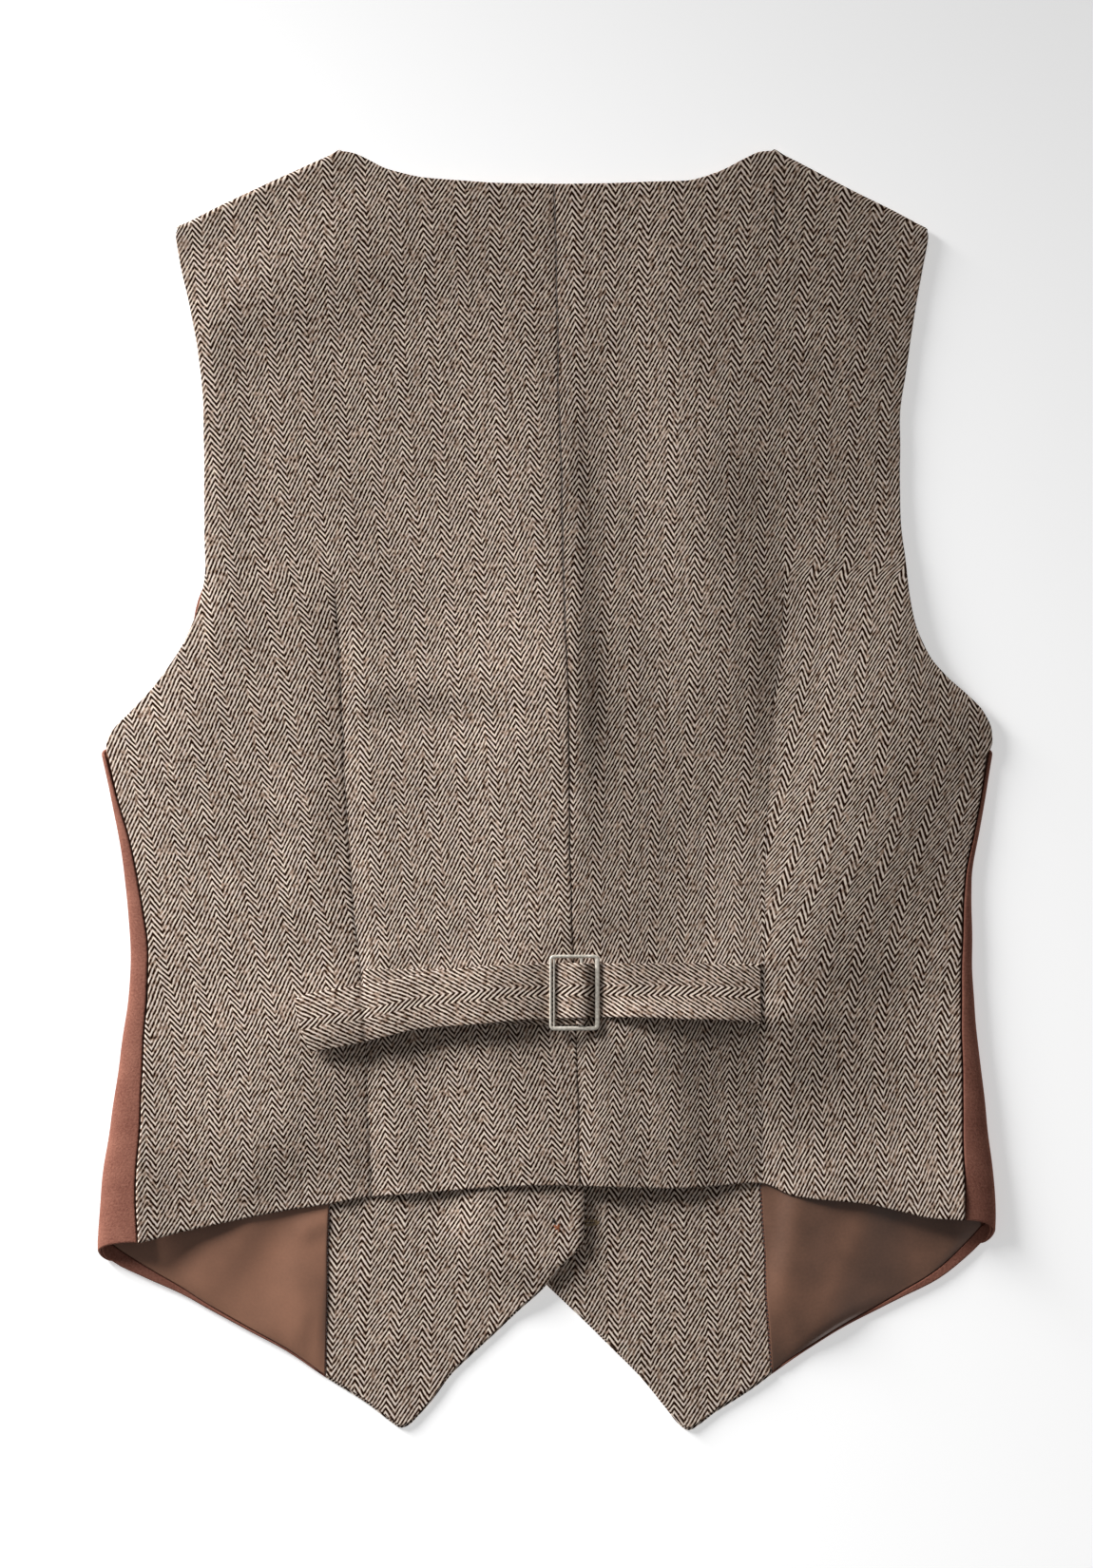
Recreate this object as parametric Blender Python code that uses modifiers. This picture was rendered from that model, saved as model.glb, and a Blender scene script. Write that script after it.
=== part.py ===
"""A suit waistcoat laid out flat on its front, back uppermost.

The frame: +X runs to the right and +Y to the neck as the back is seen from above, +Z up from the
surface. All tables are in millimetres. Each cut piece is an open surface with a Solidify modifier:
its rows and columns are worked out from the seams and edges that bound the piece.
"""

import bmesh
import bpy
import numpy as np

MM = 0.001
TWEED = 1.5  # wall of the herringbone tweed and of the plain wool
LINING = 1.0  # wall of the satin lining, of the facing and of the hem facing
STRAP = 1.3  # wall of the long strap, which is sewn double
SHORT_STRAP = 1.2
GAP = 0.3  # between pieces at a seam, and between layers
SEAM_EASE = 0.35  # each piece's distance from a side seam, where the two walls meet at an angle
CENTRE_X = 0.3  # middle of the finished width, where the origin lies
CENTRE_Y = -0.3

FRONT_MID = TWEED / 2  # height of the fronts' middle surface where they lie on the ground
LAYER = TWEED + GAP + LINING  # a front with its facing
BUTTON_RADIUS = 7.5
BUTTON_THICK = 2.0
BUTTON_RIM = 1.3
BUTTON_DISH = 0.5
HOLE_RADIUS = 0.8
HOLE_OFFSET = 1.4
BUTTON_X = 4.0
BUTTON_LOWEST = -212.9
BUTTON_PITCH = 48.5
BUTTON_COUNT = 5
SHOULDER_TOP = 4.6  # middle surface of the back where it rolls over the shoulder

BUCKLE = {"left": 1.7, "right": 26.4, "top": -81.1, "bottom": -118.2}
BUCKLE_BAR = 2.4
BUCKLE_RAIL = 1.9
BUCKLE_INNER = 1.6  # width of the bar in the middle
BUCKLE_THICK = 1.6
BUCKLE_BEVEL = 0.35
BUCKLE_MIDDLE_X = 15.0
BUCKLE_LOW = 3.0  # middle of the buckle over the back at its lower side
BUCKLE_LEAN = 1.3

ROWS_LOW = 12  # rows of a back panel from the hem to the underarm
ROWS_HIGH = 13  # rows from the underarm to the shoulder
PRINCESS_ROWS = 15  # rows of a front up to where its front seam meets the armhole
STRAP_ROWS = 7  # rows of its shoulder strap


def table(columns, *rows):
    """A short table with named columns, as a dictionary of lists."""
    return {name: [row[i] for row in rows] for i, name in enumerate(columns.split())}


# Side seams and side folds. fold is the outermost line, seam the join of the back to the side
# front, both as distances from the middle, and height that of the cloth's middle at the seam.
SIDE = {
    "left": table(
        "y fold seam height",
        (-223.0, 221.5, 201.0, 12.5),
        (-200.0, 219.8, 201.9, 11.6),
        (-165.0, 215.2, 200.2, 10.2),
        (-127.0, 209.8, 198.5, 8.8),
        (-84.0, 205.1, 196.2, 7.5),
        (-45.0, 208.4, 201.8, 6.2),
        (-20.0, 211.9, 207.0, 5.2),
        (0.0, 216.4, 213.4, 4.4),
        (17.0, 219.8, 217.4, 3.7),
    ),
    "right": table(
        "y fold seam height",
        (-212.0, 222.1, 206.1, 12.5),
        (-200.0, 221.8, 206.5, 11.8),
        (-165.0, 218.0, 205.6, 10.2),
        (-127.0, 213.8, 205.1, 8.6),
        (-84.0, 210.9, 205.4, 7.2),
        (-45.0, 210.5, 206.9, 5.8),
        (-20.0, 214.8, 211.9, 4.8),
        (0.0, 218.3, 215.9, 4.1),
        (17.0, 220.9, 218.5, 3.7),
    ),
}

# Armholes of the back, from the underarm to the shoulder tip.
ARMHOLE = {
    "left": table(
        "y x",
        (17.0, 219.6),
        (28.7, 214.5),
        (38.2, 205.6),
        (57.0, 189.1),
        (75.8, 177.3),
        (94.7, 170.7),
        (113.5, 168.4),
        (141.8, 168.9),
        (179.5, 168.9),
        (217.1, 172.1),
        (254.8, 179.7),
        (275.0, 184.5),
    ),
    "right": table(
        "y x",
        (17.0, 220.8),
        (28.7, 220.2),
        (38.2, 216.0),
        (47.6, 207.5),
        (57.0, 197.1),
        (66.4, 189.1),
        (85.3, 181.6),
        (113.5, 177.6),
        (141.8, 175.0),
        (179.5, 175.0),
        (217.1, 179.7),
        (254.8, 185.8),
        (275.0, 190.5),
    ),
}
NECK_POINT = {"left": (101.0, 317.0), "right": (111.9, 317.0)}
SHOULDER_TIP = {"left": (184.0, 278.4), "right": (190.2, 277.2)}
UNDERARM_Y = 17.0

NECKLINE = table(
    "x y",
    (-101.0, 317.0),
    (-95.0, 315.4),
    (-89.3, 312.7),
    (-77.5, 306.6),
    (-58.6, 302.4),
    (4.0, 299.6),
    (68.5, 301.0),
    (85.0, 305.2),
    (99.0, 312.6),
    (106.0, 316.0),
    (111.9, 317.0),
)
BACK_HEM = table(
    "x y",
    (-201.0, -222.8),
    (-176.4, -216.2),
    (-148.1, -210.1),
    (-115.2, -204.9),
    (-86.9, -199.4),
    (-53.9, -198.8),
    (-16.2, -195.9),
    (16.7, -195.5),
    (59.1, -196.9),
    (106.2, -194.6),
    (122.7, -200.6),
    (153.3, -203.6),
    (176.9, -210.1),
    (191.0, -212.9),
    (206.1, -212.0),
)
CENTRE_SEAM = table(
    "y x",
    (-195.5, 16.7),
    (-126.7, 15.3),
    (-79.6, 13.4),
    (-32.5, 12.0),
    (38.2, 11.1),
    (127.6, 8.2),
    (203.0, 6.4),
    (299.6, 4.0),
)
# Darts of the back as distances from the middle. Above DART_TOP the row only carries the mesh on.
DART_TOP = 108.8
DART = {
    "left": table(
        "y x",
        (-198.8, 86.9),
        (-131.4, 89.3),
        (-93.7, 91.6),
        (-60.8, 95.4),
        (14.6, 100.1),
        (61.7, 102.4),
        (108.8, 104.8),
        (317.0, 101.0),
    ),
    "right": table(
        "y x",
        (-195.9, 106.2),
        (-150.3, 106.7),
        (-79.6, 107.6),
        (-18.4, 108.6),
        (14.6, 110.0),
        (52.3, 113.3),
        (85.3, 116.6),
        (108.8, 118.0),
        (317.0, 111.9),
    ),
}

# Hem of each front from the side fold to the front edge, as distances from the middle; inside the
# apex of the V the distance is negative, past the middle.
FRONT_HEM = {
    "left": table(
        "x y",
        (-19.0, -224.0),
        (-13.6, -230.3),
        (-8.7, -234.6),
        (-2.6, -241.6),
        (0.0, -245.4),
        (13.9, -258.6),
        (25.7, -269.9),
        (39.8, -283.1),
        (47.3, -290.1),
        (57.2, -303.3),
        (63.4, -310.4),
        (68.0, -314.9),
        (71.5, -316.2),
        (76.5, -313.2),
        (88.8, -303.8),
        (108.6, -292.0),
        (129.3, -277.9),
        (148.1, -268.0),
        (164.6, -259.0),
        (181.1, -249.6),
        (199.9, -241.2),
        (214.0, -235.0),
        (221.5, -229.0),
    ),
    "right": table(
        "x y",
        (-19.0, -222.0),
        (-12.0, -233.0),
        (0.0, -245.4),
        (25.0, -269.5),
        (49.7, -293.9),
        (59.1, -305.7),
        (66.6, -315.1),
        (70.9, -317.6),
        (75.6, -315.1),
        (83.6, -309.0),
        (94.4, -301.9),
        (111.9, -289.7),
        (129.8, -277.4),
        (151.0, -264.2),
        (176.9, -251.5),
        (193.4, -243.0),
        (208.9, -231.3),
        (222.1, -219.5),
    ),
}
FRONT_EDGE_X = 19.0  # button stand: each front edge lies this far past the middle
BREAK_Y = -20.0  # where the front edge turns into the V of the neck
V_TOP = {"x": -96.0, "y": 312.0}  # its upper end, the other side of the middle
V_CURVE = 5.0  # how far the V bows out
FRONT_HEM_COLUMNS = (-19.0, -15.0, -8.0, 0.0, 14.0, 30.0, 47.0, 59.0, 66.0, 71.2, 79.0, 88.8, 98.0)

# Seam between the tweed front and the plain side front, from the hem up to the armhole.
PRINCESS = table(
    "y left right",
    (-292.0, 109.2, 111.9),
    (-206.0, 107.2, 106.8),
    (-85.0, 100.0, 101.0),
    (0.0, 102.0, 104.0),
    (60.0, 119.0, 121.0),
    (100.0, 144.0, 146.0),
    (120.0, 165.4, 172.4),
)
PRINCESS_TOP = 120.0
ARMHOLE_INSET = 3.0  # how far inside the back's armhole the front's lies
ARMHOLE_PEEK = {"left": 4.6, "right": 0.0}  # how far it comes out again around PEEK_Y
PEEK_Y = 92.0
HEM_FACING_DEPTH = table(
    "x depth", (112.0, 1.2), (150.0, 1.7), (170.0, 2.7), (184.0, 4.0), (200.0, 6.2), (222.0, 9.4)
)
FLAT_COLUMNS = 6  # columns of a side front across its flat part
ROLL_COLUMNS = 7  # and round the side fold

# Middle surface of the back away from its edges.
PLATEAU = table(
    "y height",
    (-225.0, 7.0),
    (-100.0, 6.8),
    (0.0, 6.5),
    (50.0, 6.0),
    (150.0, 5.6),
    (250.0, 5.2),
    (300.0, SHOULDER_TOP),
)
EDGE_WIDTH = 42.0  # how far in from a side seam the plateau begins
# Ridges (+) and troughs (-) of the back, each along a line. width is how far it spreads below or
# left of the line, beyond how far above or right of it.
FOLDS = table(
    "x1 y1 x2 y2 width beyond height",
    (7.0, 30.0, 8.0, -50.0, 50.0, 56.0, 4.4),  # over the buttoned fronts
    (6.0, -150.0, 12.0, -230.0, 60.0, 40.0, 3.4),
    (6.0, 168.0, 12.0, 40.0, 48.0, 13.0, 2.8),  # along the centre seam
    (-100.0, -114.0, -34.0, -106.0, 26.0, 20.0, 1.7),  # gathered under the strap
    (54.0, -101.0, 96.0, -104.0, 32.0, 20.0, 1.9),
    (-75.0, 34.0, -25.0, 34.0, 11.0, 11.0, -1.1),
    (119.0, 128.0, 112.0, 30.0, 28.0, 28.0, -0.9),  # valley of the right dart
    (190.0, 75.0, 118.0, -85.0, 38.0, 46.0, 4.2),  # pull from the right armhole
    (-118.0, -128.0, -165.0, -205.0, 56.0, 26.0, 3.0),
    (32.0, -118.0, 38.0, -190.0, 20.0, 17.0, 2.3),
    (60.0, -130.0, 68.0, -196.0, 14.0, 18.0, 2.2),
    (150.0, -186.0, 198.0, -196.0, 12.0, 12.0, 1.2),
    (-164.0, 252.0, -100.0, 282.0, 40.0, 14.0, 2.6),  # inside the left shoulder
    (64.0, 285.0, 74.0, 190.0, 24.0, 70.0, 2.4),
    (80.0, 160.0, 86.0, 55.0, 24.0, 24.0, 2.3),
    (-150.0, 20.0, -118.0, -60.0, 18.0, 18.0, -0.8),
)
DART_DEPTH = 1.1
SEAM_DEPTH = 0.5

# The long strap from its dart seam, through the buckle to the free end. top and bottom are its
# edges, lift the height of its underside over the back.
LONG_STRAP = table(
    "x top bottom lift",
    (105.6, -85.7, -116.3, 0.35),
    (97.0, -85.5, -114.0, 1.0),
    (70.0, -85.3, -112.6, 2.0),
    (40.0, -85.2, -111.8, 1.3),
    (28.0, -85.2, -111.7, 0.5),
    (23.6, -85.2, -111.8, 0.7),
    (21.0, -85.2, -111.9, 2.9),
    (18.4, -85.2, -112.0, 5.3),
    (15.8, -85.2, -112.1, 6.3),
    (12.2, -85.2, -112.2, 6.4),
    (9.4, -85.2, -112.2, 5.3),
    (6.8, -85.2, -112.3, 3.3),
    (4.8, -85.2, -112.4, 2.2),
    (2.6, -85.2, -112.5, 1.9),
    (-5.0, -85.4, -112.8, 1.9),
    (-35.0, -87.1, -115.0, 2.8),
    (-63.0, -90.9, -118.0, 3.4),
    (-82.0, -95.1, -122.5, 3.3),
    (-104.0, -98.2, -127.0, 2.8),
    (-122.0, -102.6, -129.6, 2.7),
)
STRAP_TAIL_SKEW = 7.0  # how much farther the free end's upper corner reaches
# The short strap from the other dart, under the tail, round the buckle's middle bar.
SHORT_TOP = -88.6
SHORT_BOTTOM = -115.4
SHORT_RUN = (-90.0, -80.0, -60.0, -40.0, -20.0, -8.0, 2.0, 9.0)
LOOP_RADIUS = 1.8  # of the strap's middle surface round the bar
LOOP_TUCK = 2.5


def curve(rows, key, value):
    """The table's value as a smooth function of its key, with no overshoot between rows."""
    s = np.array(rows[key], float)
    v = np.array(rows[value], float)
    order = np.argsort(s)
    s, v = s[order], v[order]
    step = np.diff(v) / np.diff(s)
    slope = np.concatenate([step[:1], np.zeros(len(s) - 2), step[-1:]])
    same = step[:-1] * step[1:] > 0
    both = np.where(same, step[:-1] + step[1:], 1.0)
    slope[1:-1] = np.where(same, 2 * step[:-1] * step[1:] / both, 0.0)

    def at(q):
        q = np.clip(np.asarray(q, float), s[0], s[-1])
        i = np.clip(np.searchsorted(s, q) - 1, 0, len(s) - 2)
        h = s[i + 1] - s[i]
        t = (q - s[i]) / h
        return (
            v[i] * (1 + 2 * t) * (1 - t) ** 2
            + slope[i] * h * t * (1 - t) ** 2
            + v[i + 1] * t * t * (3 - 2 * t)
            + slope[i + 1] * h * t * t * (t - 1)
        )

    return at


def smoothstep(t):
    t = np.clip(t, 0.0, 1.0)
    return t * t * (3 - 2 * t)


def spread(start, end, count, crowd=1.0):
    """count + 1 values from start to end; crowd over 1 sets them closer near the start."""
    return start + (end - start) * np.linspace(0, 1, count + 1) ** crowd


def coons(bottom, top, left, right):
    """A grid between four edges, each an array of points, rows running from bottom to top."""
    u = np.linspace(0, 1, len(bottom))[None, :, None]
    v = np.linspace(0, 1, len(left))[:, None, None]
    ruled = (1 - v) * bottom[None] + v * top[None] + (1 - u) * left[:, None] + u * right[:, None]
    corners = (1 - u) * (1 - v) * bottom[0] + u * (1 - v) * bottom[-1]
    return ruled - corners - (1 - u) * v * top[0] - u * v * top[-1]


def points(xs, ys):
    return np.stack(np.broadcast_arrays(np.asarray(xs, float), np.asarray(ys, float)), axis=-1)


def points3(x, y, z):
    return np.stack(np.broadcast_arrays(x, y, z), axis=-1).astype(float)


def front_edge(y):
    """Distance of a front's edge past the middle: straight by the buttons, then the V."""
    t = np.clip((np.asarray(y, float) - BREAK_Y) / (V_TOP["y"] - BREAK_Y), 0, 1)
    straight = FRONT_EDGE_X + (V_TOP["x"] - FRONT_EDGE_X) * t
    return straight + V_CURVE * np.sin(np.pi * t)


def under_edge(y):
    """Where the lower (right) front ends, as an x, all the way down to its point."""
    hem = FRONT_HEM["right"]
    low = np.interp(y, hem["y"][7::-1], hem["x"][7::-1])
    return np.where(np.asarray(y) > -222.0, -front_edge(y), low)


def button_lift(y):
    """How far the fronts ride up over the row of buttons lying under them."""
    low = smoothstep((np.asarray(y) + 252.0) / 20.0)
    high = 1 - smoothstep((np.asarray(y) + 6.0) / 70.0)
    return (BUTTON_THICK + GAP) * np.minimum(low, high)


def front_height(side, x, y):
    """Middle surface of a front. The left front lies over the right one."""
    if side == "right":
        return FRONT_MID + button_lift(y) * (1 - smoothstep((x - 16.0) / 16.0))
    step = LAYER + GAP + button_lift(y)
    return FRONT_MID + step * smoothstep((x - under_edge(y) + 37.0) / 28.0)


def fold_sum(x, y, rows):
    """Height added by a table of ridges and troughs."""
    total = np.zeros(np.broadcast(x, y).shape)
    for x1, y1, x2, y2, width, beyond, height in zip(*rows.values()):
        along = np.array([x2 - x1, y2 - y1])
        length = np.hypot(*along)
        along = along / length
        t = (x - x1) * along[0] + (y - y1) * along[1]
        across = (y - y1) * along[0] - (x - x1) * along[1]
        past = np.maximum(np.maximum(-t, t - length), 0) / (0.8 * (width + beyond))
        spread_out = np.abs(across) / np.where(across > 0, beyond, width)
        total = total + height * np.exp(-(spread_out**2.4) - past**2)
    return total


SIGN = {"left": -1.0, "right": 1.0}
plateau = curve(PLATEAU, "y", "height")
seam_height = {side: curve(SIDE[side], "y", "height") for side in SIDE}
seam_x = {side: curve(SIDE[side], "y", "seam") for side in SIDE}
fold_x = {side: curve(SIDE[side], "y", "fold") for side in SIDE}
armhole_x = {side: curve(ARMHOLE[side], "y", "x") for side in ARMHOLE}
dart_x = {side: curve(DART[side], "y", "x") for side in DART}
neck_y = curve(NECKLINE, "x", "y")
hem_y = curve(BACK_HEM, "x", "y")
centre_x = curve(CENTRE_SEAM, "y", "x")
princess_x = {side: curve(PRINCESS, "y", side) for side in SIGN}
hem_depth = curve(HEM_FACING_DEPTH, "x", "depth")
front_hem_y = {side: curve(FRONT_HEM[side], "x", "y") for side in FRONT_HEM}


def back_height(x, y):
    """Middle surface of the back over the flat of the garment."""
    x, y = np.broadcast_arrays(np.asarray(x, float), np.asarray(y, float))
    height = np.zeros(x.shape)
    for side, sign in SIGN.items():
        out = sign * x
        low = y < UNDERARM_Y
        edge = np.where(low, seam_x[side](y), armhole_x[side](y))
        edge_height = np.where(low, seam_height[side](y), SHOULDER_TOP - 0.4)
        near_underarm = np.exp(-(((y - UNDERARM_Y) / 14.0) ** 2))
        edge_height = np.where(low, edge_height, edge_height - 0.5 * near_underarm)
        inward = np.clip((edge - out) / EDGE_WIDTH, 0, 1)
        profile = edge_height + (plateau(y) - edge_height) * (1 - (1 - inward) ** 2)
        height = np.where(out >= 0, profile, height)
    lines = [(centre_x(y), SEAM_DEPTH, 300.0)]
    lines += [(SIGN[s] * dart_x[s](y), DART_DEPTH, DART_TOP) for s in SIGN]
    for line, depth, top in lines:
        fade = smoothstep((top - y) / 40.0)
        height = height - depth * fade * np.exp(-(((x - line) / 8.0) ** 2))
    # The folds die out towards the shoulders and armholes, where the layers lie close.
    calm = smoothstep((320.0 - y) / 60.0)
    return height + calm * fold_sum(x, y, FOLDS)


def material(name, colour, roughness, metallic=0.0):
    made = bpy.data.materials.new(name)
    made.use_nodes = True
    shader = made.node_tree.nodes["Principled BSDF"]
    shader.inputs["Base Color"].default_value = (*colour, 1.0)
    shader.inputs["Roughness"].default_value = roughness
    shader.inputs["Metallic"].default_value = metallic
    return made


def finish(mesh, name, surface):
    mesh.materials.append(surface)
    obj = bpy.data.objects.new(name, mesh)
    GARMENT.objects.link(obj)
    mesh.shade_smooth()
    mesh.set_sharp_from_angle(angle=np.radians(40))
    return obj


def sheet(name, grids, wall, surface, sign=1.0):
    """A piece of cloth from grids of middle points that share their edges, given its wall.

    The grids' first coordinate runs outwards from the middle, and sign turns it to the side.
    """
    bm = bmesh.new()
    for grid in grids:
        rows, columns = grid.shape[:2]
        placed = (grid * np.array([sign, 1.0, 1.0]) - np.array([CENTRE_X, CENTRE_Y, 0.0])) * MM
        verts = [bm.verts.new(p) for p in placed.reshape(-1, 3)]
        for j in range(rows - 1):
            for i in range(columns - 1):
                a = j * columns + i
                bm.faces.new([verts[a], verts[a + 1], verts[a + columns + 1], verts[a + columns]])
    bmesh.ops.remove_doubles(bm, verts=bm.verts, dist=0.00002)
    bmesh.ops.recalc_face_normals(bm, faces=bm.faces)
    mesh = bpy.data.meshes.new(name)
    bm.to_mesh(mesh)
    bm.free()
    obj = finish(mesh, name, surface)
    solidify = obj.modifiers.new("Wall", "SOLIDIFY")
    solidify.thickness = wall * MM
    solidify.offset = 0.0
    return obj


def lifted(grid, height):
    """The flat grid with a height for each of its points."""
    return np.concatenate([grid, np.broadcast_to(height, grid.shape[:2])[..., None]], axis=-1)


def shoulder_line(side, inset):
    """The two ends of a shoulder seam, drawn in from the outline by inset, and its way out."""
    neck = np.array(NECK_POINT[side])
    tip = np.array(SHOULDER_TIP[side])
    along = (tip - neck) / np.hypot(*(tip - neck))
    out = np.array([-along[1], along[0]])
    if out[1] < 0:
        out = -out
    return neck - out * inset, tip - out * inset - along * 0.6, out


def back_rows(side, foot, top):
    """Heights of a back panel's rows on one of its upright lines, crowded above the underarm."""
    low = spread(foot, UNDERARM_Y, ROWS_LOW)
    return low, spread(UNDERARM_Y, top, ROWS_HIGH, 1.5)[1:]


def back_panel(side):
    """A back panel: a grid out from its dart, one in to the centre seam, and the shoulder roll."""
    sign = SIGN[side]
    roll = (SHOULDER_TOP - FRONT_MID) / 2
    neck, tip, out = shoulder_line(side, roll + TWEED / 2)
    low, high = back_rows(side, SIDE[side]["y"][0], tip[1])
    outer_x = np.concatenate([seam_x[side](low) - SEAM_EASE, armhole_x[side](high)])
    outer = points(outer_x, np.concatenate([low, high]))
    outer[ROWS_LOW, 0] = seam_x[side](UNDERARM_Y) - 3 * SEAM_EASE
    outer[-1] = tip
    dart_y = np.concatenate(back_rows(side, hem_y(sign * DART[side]["x"][0]), neck[1]))
    dart = points(dart_x[side](dart_y), dart_y)
    dart[-1] = neck
    foot, top = CENTRE_SEAM["y"][0], CENTRE_SEAM["y"][-1]
    middle_y = np.concatenate(back_rows(side, hem_y(centre_x(foot)), neck_y(centre_x(top))))
    middle = points(sign * centre_x(middle_y) + GAP / 2, middle_y)
    hem_x = spread(outer[0, 0], dart[0, 0], 7)
    bottom = points(hem_x, hem_y(sign * hem_x))
    bottom[0], bottom[-1] = outer[0], dart[0]
    shoulder = neck + (tip - neck) * spread(1.0, 0.0, 7)[:, None]
    side_part = coons(bottom, shoulder, outer, dart)
    hem_x = spread(dart[0, 0], middle[0, 0], 9)
    bottom = points(hem_x, hem_y(sign * hem_x))
    bottom[0], bottom[-1] = dart[0], middle[0]
    neck_x = spread(neck[0], middle[-1, 0], 9, 1.2)
    neckline = points(neck_x, neck_y(sign * neck_x))
    neckline[0], neckline[-1] = neck, middle[-1]
    middle_part = coons(bottom, neckline, dart, middle)
    side_part, middle_part = (
        lifted(grid, back_height(sign * grid[..., 0], grid[..., 1]))
        for grid in (side_part, middle_part)
    )
    side_part[-1, :, 2] = SHOULDER_TOP
    middle_part[-1, 0, 2] = SHOULDER_TOP
    reach = np.array([out[0], out[1], 0.0])
    turns = np.radians([0, 40, 80, 120, 155, 180])
    shoulder_roll = [
        side_part[-1] + reach * roll * np.sin(a) - [0, 0, roll * (1 - np.cos(a))] for a in turns
    ]
    grids = [side_part, middle_part, np.array(shoulder_roll)]
    return sheet(f"back_{side}", grids, TWEED, HERRINGBONE, sign)


def side_section(side, y, bend):
    """A point of the side front's middle surface where it rolls round the side fold.

    bend runs from 0, where the cloth leaves the ground, over 1 at the fold, to 2 at the seam.
    """
    out = fold_x[side](y) - TWEED / 2
    top = seam_height[side](y)
    middle = FRONT_MID + (top - FRONT_MID) * 0.48
    radius = middle - FRONT_MID
    under = np.clip(bend, 0, 1) * np.pi / 2
    over = np.clip(bend - 1, 0, 1) * np.pi / 2
    inward = out - (seam_x[side](y) + SEAM_EASE)
    x = out - radius * (1 - np.sin(under)) - inward * (1 - np.cos(over))
    z = middle - radius * np.cos(under) + (top - middle) * np.sin(over)
    return x, z


def side_rows(side):
    """Row by row, the heights up the garment of a side front at its front seam, fold and seam."""
    front = spread(front_hem_y[side](PRINCESS[side][0]), PRINCESS_TOP, PRINCESS_ROWS)
    low = front_hem_y[side](fold_x[side](-230.0) - 6.0)
    fold = spread(low, UNDERARM_Y + 3.0, PRINCESS_ROWS)
    seam = spread(SIDE[side]["y"][0], UNDERARM_Y, PRINCESS_ROWS)
    return front, fold, seam


def front_armhole(side, y):
    """The front's armhole lies just inside the back's, but peeks out low on the left."""
    peek = ARMHOLE_PEEK[side] * np.exp(-(((y - PEEK_Y) / 14.0) ** 2))
    return armhole_x[side](y) - ARMHOLE_INSET + peek


def side_grid(side):
    """The side front's middle surface: flat under the garment, then round the side fold."""
    front_y, fold_y, seam_y = side_rows(side)
    start_x = side_section(side, fold_y, 0.0)[0]
    inner = points(princess_x[side](front_y) + GAP / 2, front_y)
    start = points(start_x, fold_y)
    hem_x = spread(inner[0, 0], start[0, 0], FLAT_COLUMNS)
    bottom = points(hem_x, front_hem_y[side](hem_x))
    bottom[0], bottom[-1] = inner[0], start[0]
    arm_y = spread(PRINCESS_TOP, fold_y[-1], FLAT_COLUMNS)
    top = points(front_armhole(side, arm_y), arm_y)
    top[0], top[-1] = inner[-1], start[-1]
    flat = lifted(coons(bottom, top, inner, start), FRONT_MID)
    bends = np.linspace(0, 2, ROLL_COLUMNS + 1)[1:]
    y = fold_y[:, None] + (seam_y - fold_y)[:, None] * smoothstep(bends / 2)[None]
    x, z = side_section(side, y, bends[None])
    return np.concatenate([flat, np.stack([x, y, z], axis=-1)], axis=1)


def inner_layer(grid, distance):
    """The grid moved in towards the wearer, along its own normals."""
    normal = np.cross(np.gradient(grid, axis=1), np.gradient(grid, axis=0))
    normal /= np.linalg.norm(normal, axis=-1, keepdims=True)
    return grid + normal * distance


def drawn_in(grid, first, last, depth):
    """The grid with one edge row, first, moved towards the next, last, by depth."""
    step = grid[last] - grid[first]
    length = np.linalg.norm(step, axis=-1, keepdims=True)
    moved = grid.copy()
    moved[first] = grid[first] + step / length * np.reshape(depth, (-1, 1))
    return moved


def inset(grid, hem=0.0, top=0.0, start=0.0, end=0.0):
    """The grid with its four edges drawn in along its own rows and columns."""
    grid = drawn_in(drawn_in(grid, 0, 1, hem), -1, -2, top)
    turned = np.swapaxes(grid, 0, 1)
    return np.swapaxes(drawn_in(drawn_in(turned, 0, 1, start), -1, -2, end), 0, 1)


def side_front(side):
    """The plain side front with its turned-up hem and the satin lining that lies on it."""
    grid = side_grid(side)
    sheet(f"side_front_{side}", [grid], TWEED, WOOL, SIGN[side])
    spacing = (TWEED + LINING) / 2 + GAP
    depth = hem_depth(grid[0, :, 0])[:, None]
    rise = grid[1] - grid[0]
    rise = rise / np.linalg.norm(rise, axis=-1, keepdims=True)
    strip = np.array([grid[0] + rise * (0.5 + share * depth) for share in (0.0, 0.5, 1.0)])
    strip = inset(strip, start=1.0, end=0.8)
    strip = inner_layer(strip, spacing)
    sheet(f"hem_facing_{side}", [strip], LINING, WOOL, SIGN[side])
    flat = grid[:, : FLAT_COLUMNS + 1]
    above = 0.5 + hem_depth(flat[0, :, 0]) + 2 * GAP
    satin = inner_layer(inset(flat, hem=above, top=2.0, start=0.1, end=0.5), spacing)
    sheet(f"lining_{side}", [satin], LINING, SATIN, SIGN[side])


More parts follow.
